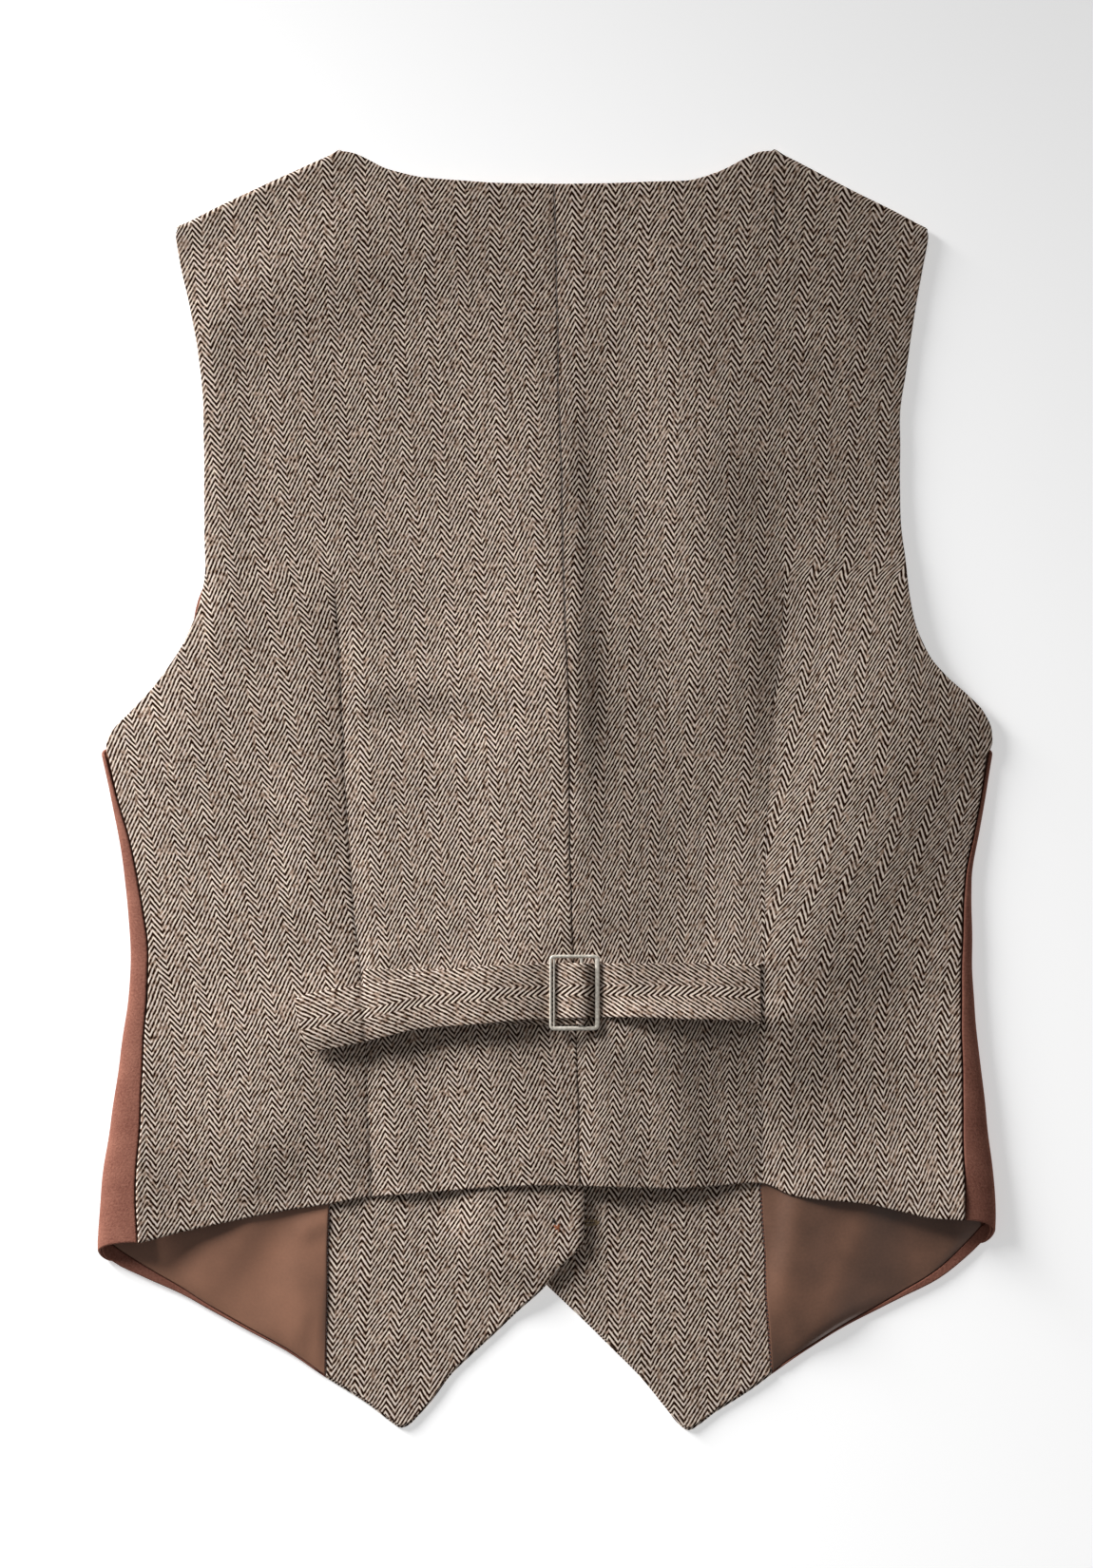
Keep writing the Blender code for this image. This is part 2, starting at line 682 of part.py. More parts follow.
def front_panel(side):
    """A tweed front with its facing: point at the hem, button stand, V and shoulder strap."""
    sign = SIGN[side]
    roll = (SHOULDER_TOP - FRONT_MID) / 2
    neck, tip, _ = shoulder_line(side, roll + TWEED / 2 + GAP)
    low = spread(front_hem_y[side](PRINCESS[side][0]), PRINCESS_TOP, PRINCESS_ROWS)
    high = spread(PRINCESS_TOP, tip[1], STRAP_ROWS)[1:]
    outer_x = np.concatenate([princess_x[side](low) - GAP / 2, front_armhole(side, high)])
    outer = points(outer_x, np.concatenate([low, high]))
    outer[-1] = tip + (neck - tip) * 0.03
    edge_y = spread(FRONT_HEM[side]["y"][0], neck[1] - 3.0, PRINCESS_ROWS + STRAP_ROWS)
    edge = points(-front_edge(edge_y), edge_y)
    edge[-1] = neck + (tip - neck) * 0.04
    hem_x = np.array([*FRONT_HEM_COLUMNS, outer[0, 0]])
    bottom = points(hem_x, front_hem_y[side](hem_x))
    bottom[0], bottom[-1] = edge[0], outer[0]
    share = np.linspace(0, 1, len(hem_x))[:, None]
    top = edge[-1] + (outer[-1] - edge[-1]) * share
    flat = coons(bottom, top, edge, outer)
    grid = lifted(flat, front_height(side, sign * flat[..., 0], flat[..., 1]))
    sheet(f"front_{side}", [grid], TWEED, HERRINGBONE, sign)
    spacing = (TWEED + LINING) / 2 + GAP
    inner = inset(grid, hem=1.4, top=6.0, start=1.4, end=0.2)
    sheet(f"facing_{side}", [inner_layer(inner, spacing)], LINING, HERRINGBONE, sign)


def long_strap():
    """The strap sewn into the right dart, through the buckle, with its free tail."""
    rows = LONG_STRAP
    along = np.array(rows["x"])
    top, bottom, lift = (curve(rows, "x", key) for key in ("top", "bottom", "lift"))
    stations = np.concatenate(
        [along[:4], spread(along[4], along[13], 16), [-5, -20], along[15:-1], [-114], along[-1:]]
    )
    grid = np.zeros((len(stations), 4, 3))
    for k, x in enumerate(stations):
        share = np.linspace(0, 1, 4)
        y = top(x) + (bottom(x) - top(x)) * share
        across = x - STRAP_TAIL_SKEW * smoothstep((-85 - x) / 36) * (0.5 - share)
        base = strap_base(across, y)
        grid[k] = points3(across, y, base + TWEED / 2 + lift(x) + STRAP / 2)
    return sheet("strap_long", [grid], STRAP, HERRINGBONE)


def short_strap():
    """The strap sewn into the left dart and looped round the buckle's middle bar."""
    share = np.linspace(0, 1, 3)
    y = SHORT_TOP + (SHORT_BOTTOM - SHORT_TOP) * share
    bar_z = buckle_height(BUCKLE_MIDDLE_X)
    rows = []
    for x in SHORT_RUN:
        base = strap_base(x, y)
        rows.append(points3(x, y, base + TWEED / 2 + GAP + SHORT_STRAP / 2))
    for angle in np.radians([-90, -45, 0, 45, 90]):
        x = BUCKLE_MIDDLE_X + LOOP_RADIUS * np.cos(angle)
        rows.append(points3(x, y, bar_z + LOOP_RADIUS * np.sin(angle)))
    rows.append(points3(BUCKLE_MIDDLE_X - LOOP_TUCK, y, bar_z + LOOP_RADIUS))
    return sheet("strap_short", [np.array(rows)], SHORT_STRAP, HERRINGBONE)


def perch_height():
    """The highest point of the back's middle surface under the buckle."""
    x, y = np.meshgrid(np.linspace(-6.0, 34.0, 9), np.linspace(BUCKLE["bottom"], BUCKLE["top"], 9))
    return float(np.max(back_height(x, y)))


def strap_base(x, y):
    """What a strap lies on: the back, levelled out where the buckle bridges it."""
    level = smoothstep((62.0 - abs(x - BUCKLE_MIDDLE_X)) / 44.0)
    return back_height(x, y) * (1 - level) + perch_height() * level


def buckle_height(x):
    """Middle of the buckle, which leans up towards the tail it holds down."""
    share = (BUCKLE["right"] - x) / (BUCKLE["right"] - BUCKLE["left"])
    return perch_height() + TWEED / 2 + BUCKLE_LOW + BUCKLE_LEAN * share


def buckle():
    """A rectangular slide: a frame with a bar across its middle, made from five bars."""
    left, right, top, bottom = (BUCKLE[key] for key in ("left", "right", "top", "bottom"))
    bars = [
        ("x", left + BUCKLE_RAIL / 2, BUCKLE_RAIL),
        ("x", BUCKLE_MIDDLE_X, BUCKLE_INNER),
        ("x", right - BUCKLE_BAR / 2, BUCKLE_BAR),
        ("y", top - BUCKLE_RAIL / 2, BUCKLE_RAIL),
        ("y", bottom + BUCKLE_RAIL / 2, BUCKLE_RAIL),
    ]
    pieces = []
    lean = np.arctan2(buckle_height(left) - buckle_height(right), right - left)
    middle_x, middle_y = (left + right) / 2, (top + bottom) / 2
    for axis, place, width in bars:
        bm = bmesh.new()
        bmesh.ops.create_cube(bm, size=1.0)
        if axis == "x":
            size = (width, top - bottom, BUCKLE_THICK)
            centre = (place - middle_x, 0.0, 0.0)
        else:
            size = (right - left, width, BUCKLE_THICK)
            centre = (0.0, place - middle_y, 0.0)
        bmesh.ops.scale(bm, vec=[s * MM for s in size], verts=bm.verts)
        bmesh.ops.translate(bm, vec=[c * MM for c in centre], verts=bm.verts)
        mesh = bpy.data.meshes.new("bar")
        bm.to_mesh(mesh)
        bm.free()
        pieces.append(bpy.data.objects.new(f"bar_{len(pieces)}", mesh))
    frame = pieces[0]
    frame.name = "buckle"
    frame.data.materials.append(PEWTER)
    GARMENT.objects.link(frame)
    for bar in pieces[1:]:
        TOOLS.objects.link(bar)
        bar.hide_render = True
        bar.display_type = "WIRE"
        union = frame.modifiers.new(bar.name, "BOOLEAN")
        union.operation = "UNION"
        union.object = bar
        bar.parent = frame
    frame.location = [
        (middle_x - CENTRE_X) * MM,
        (middle_y - CENTRE_Y) * MM,
        float(buckle_height(middle_x)) * MM,
    ]
    frame.rotation_euler = (0.0, lean, 0.0)
    bevel = frame.modifiers.new("Edges", "BEVEL")
    bevel.width = BUCKLE_BEVEL * MM
    bevel.segments = 1
    bevel.limit_method = "ANGLE"
    return frame


def button_mesh():
    """A four-hole button, its dished face down."""
    bm = bmesh.new()
    bmesh.ops.create_cone(
        bm,
        cap_ends=True,
        segments=28,
        radius1=BUTTON_RADIUS * MM,
        radius2=BUTTON_RADIUS * 0.94 * MM,
        depth=BUTTON_THICK * MM,
    )
    face = min(bm.faces, key=lambda f: f.calc_center_median().z)
    bmesh.ops.inset_region(bm, faces=[face], thickness=BUTTON_RIM * MM)
    dish = BUTTON_DISH * MM
    bmesh.ops.inset_region(bm, faces=[face], thickness=dish, depth=-dish)
    mesh = bpy.data.meshes.new("button")
    bm.to_mesh(mesh)
    bm.free()
    return mesh


def holes_cutter():
    bm = bmesh.new()
    for x, y in ((1, 1), (1, -1), (-1, 1), (-1, -1)):
        made = bmesh.ops.create_cone(
            bm,
            cap_ends=True,
            segments=8,
            radius1=HOLE_RADIUS * MM,
            radius2=HOLE_RADIUS * MM,
            depth=3 * BUTTON_THICK * MM,
        )
        at = (x * HOLE_OFFSET * MM, y * HOLE_OFFSET * MM, 0)
        bmesh.ops.translate(bm, vec=at, verts=made["verts"])
    mesh = bpy.data.meshes.new("button_holes")
    bm.to_mesh(mesh)
    bm.free()
    return mesh


def buttons():
    """The row of buttons under the right front, each held through it to the left one."""
    mesh = button_mesh()
    mesh.materials.append(HORN)
    holes = holes_cutter()
    for count in range(BUTTON_COUNT):
        button = bpy.data.objects.new(f"button_{count + 1}", mesh)
        GARMENT.objects.link(button)
        button.location = (
            (BUTTON_X - CENTRE_X) * MM,
            (BUTTON_LOWEST + count * BUTTON_PITCH - CENTRE_Y) * MM,
            BUTTON_THICK / 2 * MM,
        )
        cutter = bpy.data.objects.new(f"holes_{count + 1}", holes)
        TOOLS.objects.link(cutter)
        cutter.parent = button
        cutter.hide_render = True
        cutter.display_type = "WIRE"
        cut = button.modifiers.new("Holes", "BOOLEAN")
        cut.operation = "DIFFERENCE"
        cut.object = cutter


for old in list(bpy.data.objects):
    bpy.data.objects.remove(old, do_unlink=True)
GARMENT = bpy.data.collections.new("waistcoat")
TOOLS = bpy.data.collections.new("waistcoat_cutters")
bpy.context.scene.collection.children.link(GARMENT)
bpy.context.scene.collection.children.link(TOOLS)

HERRINGBONE = material("herringbone_tweed", (0.26, 0.20, 0.16), 0.9)
WOOL = material("plain_wool", (0.34, 0.13, 0.09), 0.9)
SATIN = material("satin_lining", (0.24, 0.13, 0.08), 0.35)
PEWTER = material("pewter", (0.42, 0.42, 0.38), 0.35, 1.0)
HORN = material("brown_horn", (0.10, 0.05, 0.03), 0.4)

for where in SIGN:
    back_panel(where)
    side_front(where)
    front_panel(where)
long_strap()
short_strap()
buckle()
buttons()
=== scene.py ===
# %% [markdown]
# # A suit waistcoat, laid flat with its back up
#
# This lesson dresses a imported model of a tailored waistcoat. The imported solids give every piece
# its place and size: two back panels, two fronts with their facings, plain wool side fronts,
# turned-up hems, satin linings, a buckled back strap and the front buttons. Here each piece of
# cloth is made again, as a thin shell with a fine mesh, its own flat-cloth coordinates and the
# creases that a worn-in wool cloth keeps.
#
# The imported model is loaded first. It holds the imported solids, which never move.

import bmesh
import bpy
import numpy as np
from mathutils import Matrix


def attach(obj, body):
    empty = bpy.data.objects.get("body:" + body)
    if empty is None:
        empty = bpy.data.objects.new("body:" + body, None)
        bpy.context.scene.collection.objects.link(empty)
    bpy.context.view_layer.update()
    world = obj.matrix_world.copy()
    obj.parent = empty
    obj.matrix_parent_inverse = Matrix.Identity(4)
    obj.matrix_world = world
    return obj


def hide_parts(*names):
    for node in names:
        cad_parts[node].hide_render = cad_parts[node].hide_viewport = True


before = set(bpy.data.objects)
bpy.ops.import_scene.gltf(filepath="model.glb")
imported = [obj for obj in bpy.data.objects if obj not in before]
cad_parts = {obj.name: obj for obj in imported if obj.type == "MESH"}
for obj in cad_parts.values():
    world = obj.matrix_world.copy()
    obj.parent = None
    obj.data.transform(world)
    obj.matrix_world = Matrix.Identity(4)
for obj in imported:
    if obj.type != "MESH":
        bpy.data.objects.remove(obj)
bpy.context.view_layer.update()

# %% [markdown]
# ## Sizes of the cloth
#
# A tailor works in millimetres, and so do all the tables here; MM turns them into Blender's
# metres when a mesh is made. Tweed is a thick cloth, satin a thin one, and the long strap is sewn
# double, so each has its own wall. The pieces never touch: a small gap stands for each seam and
# for the air between two layers.

# %% Walls, gaps and the middle of the garment
MM = 0.001
TWEED = 1.5  # wall of the herringbone tweed and of the plain wool
LINING = 1.0  # wall of the satin, of the facing and of the turned-up hem
STRAP = 1.1  # wall of the long strap, which is sewn double and pressed
SHORT_STRAP = 0.9
GAP = 0.3  # between layers
SEAM_GAP = 0.04  # left between two pieces where they are sewn edge to edge
SEAM_EASE = 0.35  # each piece's distance from a side seam, where the two walls meet at an angle
CENTRE = np.array([0.3, -0.3, 0.0])  # middle of the finished outline, where the origin lies
FRONT_MID = TWEED / 2  # height of the fronts' middle surface where they lie on the ground
LAYER = TWEED + GAP + LINING  # a front with its facing
BUTTON_THICK = 2.0
BUTTON_X = 4.0
BUTTON_Y = -212.9 + 48.5 * np.arange(5)  # from the lowest to the top one
SHOULDER_TOP = 4.6  # middle surface of the back where it rolls over the shoulder
BUCKLE = {"left": 1.7, "right": 26.4, "top": -81.1, "bottom": -118.2}
BUCKLE_MIDDLE_X = 17.5  # its hidden middle bar
BUCKLE_LOW = 2.5  # middle of the buckle over the back at its right side
BUCKLE_LEAN = 1.3  # how much higher its left side is
ROWS_LOW, ROWS_HIGH = 12, 13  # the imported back's rows below and above the underarm
PRINCESS_ROWS, STRAP_ROWS = 15, 7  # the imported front's rows up to the armhole, and above it
SIGN = {"left": -1.0, "right": 1.0}


def table(columns, *rows):
    """A short table with named columns, as a dictionary of lists."""
    return {name: [row[i] for row in rows] for i, name in enumerate(columns.split())}


def pair(columns, left, right):
    """A table for each side of the garment, with the same columns."""
    return {"left": table(columns, *left), "right": table(columns, *right)}


# %% [markdown]
# ## Seams and edges as tables
#
# Each seam and each cut edge is a short table of where it runs. A real pattern cutter's block is
# the same thing: a few marked points and a curve through them. x is the distance from the middle
# or the place to the right, y runs up to the neck.

# %% Outline, seams and darts of the back
# Side seams and side folds. fold is the outermost line, seam the join of the back to the side
# front, both as distances from the middle, and height that of the cloth's middle at the seam.
SIDE = pair(
    "y fold seam height",
    left=(
        (-223, 221.5, 201, 12.5), (-200, 219.8, 201.9, 11.6), (-165, 215.2, 200.2, 10.2),
        (-127, 209.8, 198.5, 8.8), (-84, 205.1, 196.2, 7.5), (-45, 208.4, 201.8, 6.2),
        (-20, 211.9, 207, 5.2), (0, 216.4, 213.4, 4.4), (17, 219.8, 217.4, 3.7),
    ),
    right=(
        (-212, 222.1, 206.1, 12.5), (-200, 221.8, 206.5, 11.8), (-165, 218, 205.6, 10.2),
        (-127, 213.8, 205.1, 8.6), (-84, 210.9, 205.4, 7.2), (-45, 210.5, 206.9, 5.8),
        (-20, 214.8, 211.9, 4.8), (0, 218.3, 215.9, 4.1), (17, 220.9, 218.5, 3.7),
    ),
)

# Armholes of the back, from the underarm to the shoulder tip.
ARMHOLE = pair(
    "y x",
    left=(
        (17, 219.6), (28.7, 214.5), (38.2, 205.6), (57, 189.1), (75.8, 177.3), (94.7, 170.7),
        (113.5, 168.4), (141.8, 168.9), (179.5, 168.9), (217.1, 172.1), (254.8, 179.7),
        (275, 184.5),
    ),
    right=(
        (17, 220.8), (28.7, 220.2), (38.2, 216), (47.6, 207.5), (57, 197.1), (66.4, 189.1),
        (85.3, 181.6), (113.5, 177.6), (141.8, 175), (179.5, 175), (217.1, 179.7), (254.8, 185.8),
        (275, 190.5),
    ),
)
NECK_POINT = {"left": (101.0, 317.0), "right": (111.9, 317.0)}
SHOULDER_TIP = {"left": (184.0, 278.4), "right": (190.2, 277.2)}
UNDERARM_Y = 17.0

NECKLINE = table(
    "x y",
    (-101, 317), (-95, 315.4), (-89.3, 312.7), (-77.5, 306.6), (-58.6, 302.4), (4, 299.6),
    (68.5, 301), (85, 305.2), (99, 312.6), (106, 316), (111.9, 317),
)
BACK_HEM = table(
    "x y",
    (-201, -223.2), (-176.4, -217.4), (-148.1, -211.8), (-115.2, -206), (-88.9, -201.8),
    (-53.9, -198.8), (-16.2, -195.9), (16.7, -195.5), (59.1, -196.9), (106.2, -194.6),
    (122.7, -200.6), (153.3, -203.9), (176.9, -208.5), (191, -211.3), (206.1, -212),
)
CENTRE_SEAM = table(
    "y x",
    (-195.5, 16.7), (-126.7, 15.3), (-79.6, 13.4), (-32.5, 12), (38.2, 11.1), (127.6, 8.2),
    (203, 6.4), (299.6, 4),
)
# Darts of the back as distances from the middle. Above DART_TOP the row only carries the mesh on.
DART_TOP = 108.8
DART = pair(
    "y x",
    left=(
        (-198.8, 86.9), (-131.4, 89.3), (-93.7, 91.6), (-60.8, 95.4), (14.6, 100.1), (61.7, 102.4),
        (108.8, 104.8), (317, 101),
    ),
    right=(
        (-195.9, 106.2), (-150.3, 106.7), (-79.6, 107.6), (-18.4, 108.6), (14.6, 110),
        (52.3, 113.3), (85.3, 116.6), (108.8, 118), (317, 111.9),
    ),
)

# %% [markdown]
# The fronts lie under the back. The hem of each runs down to a point beside the middle, and its
# edge lies past the middle by the width of the button stand, until it turns off into the V of the
# neck. The seam to the plain side front curves from the hem to the armhole.

# %% Hem, edge and seams of the fronts
# Hem of each front from its front edge to the side fold, as distances from the middle; past the
# middle the distance is negative.
FRONT_HEM = pair(
    "x y",
    left=(
        (-19, -224), (-13.6, -230.3), (-8.7, -234.6), (-2.6, -241.6), (0, -245.4), (13.9, -258.6),
        (25.7, -269.9), (39.8, -283.1), (47.3, -290.1), (57.2, -303.3), (63.4, -310.4),
        (68, -314.9), (71.5, -316.2), (76.5, -313.2), (88.8, -303.8), (108.6, -292),
        (129.3, -277.9), (148.1, -268), (164.6, -259), (181.1, -249.6), (199.9, -241.2),
        (214, -235), (221.5, -229),
    ),
    right=(
        (-19, -222), (-12, -233), (0, -245.4), (25, -269.5), (49.7, -293.9), (59.1, -305.7),
        (66.6, -315.1), (70.9, -317.6), (75.6, -315.1), (83.6, -309), (94.4, -301.9),
        (111.9, -289.7), (129.8, -277.4), (151, -264.2), (176.9, -251.5), (193.4, -243),
        (208.9, -231.3), (222.1, -219.5),
    ),
)
FRONT_POINT = 7  # row of the right front's hem table at its point
FRONT_EDGE_X = 19.0  # button stand: each front edge lies this far past the middle
BREAK_Y = -20.0  # where the front edge turns into the V of the neck
V_TOP = {"x": -96.0, "y": 312.0}  # its upper end, the other side of the middle
V_CURVE = 5.0  # how far the V bows out
FRONT_HEM_COLUMNS = (-19.0, -15.0, -8.0, 0.0, 14.0, 30.0, 47.0, 59.0, 66.0, 71.2, 79.0, 88.8, 98.0)

# Seam between the tweed front and the plain side front, from the hem up to the armhole.
PRINCESS = table(
    "y left right",
    (-292, 109.2, 111.9), (-206, 107.2, 106.8), (-85, 100, 101), (0, 102, 104), (60, 119, 121),
    (100, 144, 146), (120, 165.4, 172.4),
)
PRINCESS_TOP = 120.0
ARMHOLE_INSET = 3.0  # how far inside the back's armhole the front's lies
ARMHOLE_PEEK = {"left": 4.6, "right": 0.0}  # how far it comes out again around PEEK_Y
PEEK_Y = 92.0
HEM_FACING_DEPTH = table(
    "x depth",
    (112, 0.7), (150, 1.1), (170, 1.9), (184, 3.2), (200, 5.6), (222, 9.4),
)

# %% [markdown]
# Cloth that lies on cloth is never flat. PLATEAU says how high the back lies over the layers
# under it, FOLDS lists its larger ridges and troughs, and the last tables shape the strap, which
# stands off the back along its lower edge and humps over the bar of the buckle.

# %% Heights and folds of the back, and the strap
# Middle surface of the back away from its edges.
PLATEAU = table(
    "y height",
    (-225, 7), (-100, 6.8), (0, 6.5), (50, 6), (150, 5.6), (250, 5.2), (300, SHOULDER_TOP),
)
EDGE_WIDTH = 42.0  # how far in from a side seam the plateau begins
# Ridges (+) and troughs (-) of the back, each along a line. width is how far it spreads below or
# left of the line, beyond how far above or right of it.
FOLDS = table(
    "x1 y1 x2 y2 width beyond height",
    (7, 30, 8, -50, 50, 56, 4.4),  # over the buttoned fronts
    (6, -150, 12, -230, 60, 40, 3.4),
    (6, 168, 12, 40, 48, 13, 2.8),  # along the centre seam
    (-100, -114, -34, -106, 26, 20, 1.7),  # gathered under the strap
    (54, -101, 96, -104, 32, 20, 1.9), (-75, 34, -25, 34, 11, 11, -1.1),
    (119, 128, 112, 30, 28, 28, -0.9),  # valley of the right dart
    (190, 75, 118, -85, 38, 46, 4.2),  # pull from the right armhole
    (-118, -128, -165, -205, 56, 26, 3), (32, -118, 38, -190, 20, 17, 2.3),
    (60, -130, 68, -196, 14, 18, 2.2), (150, -186, 198, -196, 12, 12, 1.2),
    (-164, 252, -100, 282, 40, 14, 2.6),  # inside the left shoulder
    (64, 285, 74, 190, 24, 70, 2.4), (80, 160, 86, 55, 24, 24, 2.3),
    (-150, 20, -118, -60, 18, 18, -0.8),
)
DART_DEPTH, SEAM_DEPTH = 1.1, 0.5  # how far the back dips at its darts and its centre seam
DIP_WIDTH = 8.0
SHOULDER_CALM = (320.0, 60.0)  # the folds die out up to this height, over this length

# The long strap from its dart seam, through the buckle to the free end. top and bottom are its
# edges, lift the height of its underside over the back.
LONG_STRAP = table(
    "x top bottom lift",
    (105.6, -85.7, -116.3, 0.05), (98, -85.6, -114.4, 0.3), (86, -85.4, -113.2, 1.6),
    (70, -85.3, -112.6, 3.2), (40, -85.2, -111.8, 3.2), (31, -85.2, -111.7, 1.8),
    (25.6, -85.2, -111.8, 0.25), (23.8, -85.2, -111.8, 0.5), (22.4, -85.2, -111.9, 2),
    (20.8, -85.2, -112, 4.2), (19.2, -85.2, -112, 5), (17, -85.2, -112.1, 5.1),
    (13.6, -85.2, -112.1, 4.6), (10, -85.2, -112.2, 3.5), (6.8, -85.2, -112.3, 2.3),
    (4.4, -85.2, -112.4, 1.6), (2, -85.2, -112.5, 1.6), (-5, -85.4, -112.8, 2.7),
    (-35, -87.1, -115, 4.9), (-63, -90.9, -118, 5.4), (-82, -95.1, -122.5, 4.8),
    (-104, -98.2, -127, 3.3), (-122, -102.6, -129.6, 2.4),
)
# How much higher the strap's lower edge stands than its upper one.
STRAP_GAPE = table(
    "x gape",
    (-122, 0.8), (-100, 1.2), (-40, 1.3), (-8, 0.8), (1, 0.1), (27.5, 0), (33, 0.8), (64, 1.7),
    (86, 2.4), (98, 1.2), (105.6, 0.1),
)
STRAP_TAIL_SKEW = 7.0  # how much farther the free end's upper corner reaches
TAIL_ROUNDING = 2.4  # of its two corners
# The short strap from the other dart, under the tail, round the buckle's middle bar.
SHORT_TOP, SHORT_BOTTOM = -88.6, -115.4
SHORT_START, SHORT_FLAT = -90.0, 2.0  # out of its dart, and flat up to here before the bar
LOOP_RADIUS = 1.35  # of the strap's middle surface round the bar
LOOP_TUCK = 2.5  # how far it runs back above itself

# %% [markdown]
# ## Curves and patches
#
# `curve` draws a smooth line through a table's rows without overshooting them, as a tailor's
# curved rule does. `coons` fills the space between four edges with a grid of points, so that a
# panel is wholly defined by its seams. Both take rows and columns at any spacing, which lets the
# mesh be fine at an edge and wider in the middle.

# %% Curve, patch and blending helpers
def curve(rows, key, value):
    """The table's value as a smooth function of its key, with no overshoot between rows."""
    s = np.array(rows[key], float)
    v = np.array(rows[value], float)
    order = np.argsort(s)
    s, v = s[order], v[order]
    step = np.diff(v) / np.diff(s)
    slope = np.concatenate([step[:1], np.zeros(len(s) - 2), step[-1:]])
    same = step[:-1] * step[1:] > 0
    both = np.where(same, step[:-1] + step[1:], 1.0)
    slope[1:-1] = np.where(same, 2 * step[:-1] * step[1:] / both, 0.0)

    def at(q):
        q = np.clip(np.asarray(q, float), s[0], s[-1])
        i = np.clip(np.searchsorted(s, q) - 1, 0, len(s) - 2)
        h = s[i + 1] - s[i]
        t = (q - s[i]) / h
        return (
            v[i] * (1 + 2 * t) * (1 - t) ** 2
            + slope[i] * h * t * (1 - t) ** 2
            + v[i + 1] * t * t * (3 - 2 * t)
            + slope[i + 1] * h * t * t * (t - 1)
        )

    return at


def smoothstep(t):
    t = np.clip(t, 0.0, 1.0)
    return t * t * (3 - 2 * t)


def mixed(a, b, share):
    return a + (b - a) * share


def points(*axes):
    return np.stack(np.broadcast_arrays(*[np.asarray(a, float) for a in axes]), axis=-1)


def unit(vectors):
    return vectors / np.linalg.norm(vectors, axis=-1, keepdims=True)


def steps(grid, axis):
    """Distances between neighbours along one way of a grid: 0 for columns, 1 for rows."""
    return np.linalg.norm(np.diff(grid, axis=axis), axis=-1)


def coons(bottom, top, left, right, u, v):
    """A grid between four edges. u and v, from 0 to 1, say how far along its lines lie."""
    u = u[None, :, None]
    v = v[:, None, None]
    ruled = (1 - v) * bottom[None] + v * top[None] + (1 - u) * left[:, None] + u * right[:, None]
    corners = (1 - u) * (1 - v) * bottom[0] + u * (1 - v) * bottom[-1]
    return ruled - corners - (1 - u) * v * top[0] - u * v * top[-1]


EDGE_STEPS = np.array([0.0, 0.05, 0.2, 0.42, 0.75, 1.3, 2.1])  # mm in from a cut or sewn edge
CREASE_STEPS = np.array([0.0, 0.5, 1.1, 1.9])  # mm from a line where two grids of a piece join


def stations(length, step, start=EDGE_STEPS, end=EDGE_STEPS):
    """Places from 0 to 1 along a length in mm: close together at both ends, step apart between."""
    inner = np.linspace(start[-1], length - end[-1], max(2, round(length / step)))
    return np.concatenate([start[:-1], inner, length - end[-2::-1]]) / length


# %% [markdown]
# ## Heights
#
# The garment lies in layers: the fronts on the ground, their facings and linings on them, the
# back on top. The back is highest over the buttoned fronts and sinks to its seams, and a table of
# ridges and troughs gives the larger folds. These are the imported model's own heights, so the
# dressed pieces lie where the solids are.

# %% Heights of the fronts and of the back
def both_sides(tables, key, value):
    return {side: curve(tables[side], key, value) for side in SIGN}


seam_height = both_sides(SIDE, "y", "height")
seam_x = both_sides(SIDE, "y", "seam")
fold_x = both_sides(SIDE, "y", "fold")
armhole_x = both_sides(ARMHOLE, "y", "x")
dart_x = both_sides(DART, "y", "x")
front_hem_y = both_sides(FRONT_HEM, "x", "y")
princess_x = {side: curve(PRINCESS, "y", side) for side in SIGN}
neck_y = curve(NECKLINE, "x", "y")
hem_y = curve(BACK_HEM, "x", "y")
centre_x = curve(CENTRE_SEAM, "y", "x")
hem_depth = curve(HEM_FACING_DEPTH, "x", "depth")
plateau = curve(PLATEAU, "y", "height")


def front_edge(y):
    """Distance of a front's edge past the middle: straight by the buttons, then the V."""
    t = np.clip((np.asarray(y, float) - BREAK_Y) / (V_TOP["y"] - BREAK_Y), 0, 1)
    straight = FRONT_EDGE_X + (V_TOP["x"] - FRONT_EDGE_X) * t
    return straight + V_CURVE * np.sin(np.pi * t)


def under_edge(y):
    """Where the lower (right) front ends, as an x, all the way down to its point."""
    hem = FRONT_HEM["right"]
    low = np.interp(y, hem["y"][FRONT_POINT::-1], hem["x"][FRONT_POINT::-1])
    return np.where(np.asarray(y) > hem["y"][0], -front_edge(y), low)


LIFT_FROM, LIFT_TO = -252.0, -6.0  # between these heights the fronts ride up on the buttons
RIGHT_LIFT_FROM, RIGHT_LIFT_EDGE = -246.0, 11.0  # the right one above and left of these only
LAP_START, LAP_LENGTH = 37.0, 28.0  # the left one climbs this far before the right one's edge


def button_lift(y):
    """How far the fronts ride up over the row of buttons lying under them."""
    low = smoothstep((np.asarray(y) - LIFT_FROM) / 20.0)
    high = 1 - smoothstep((np.asarray(y) - LIFT_TO) / 70.0)
    return (BUTTON_THICK + GAP) * np.minimum(low, high)


def front_height(side, x, y):
    """Middle surface of a front. The left front lies over the right one."""
    if side == "right":
        low = smoothstep((np.asarray(y) - RIGHT_LIFT_FROM) / 22.0)
        beside = 1 - smoothstep((x - RIGHT_LIFT_EDGE) / 16.0)
        return FRONT_MID + low * button_lift(y) * beside
    step = LAYER + GAP + button_lift(y)
    return FRONT_MID + step * smoothstep((x - under_edge(y) + LAP_START) / LAP_LENGTH)


ROLL_WIDTH = 5.0  # of the pressed edge


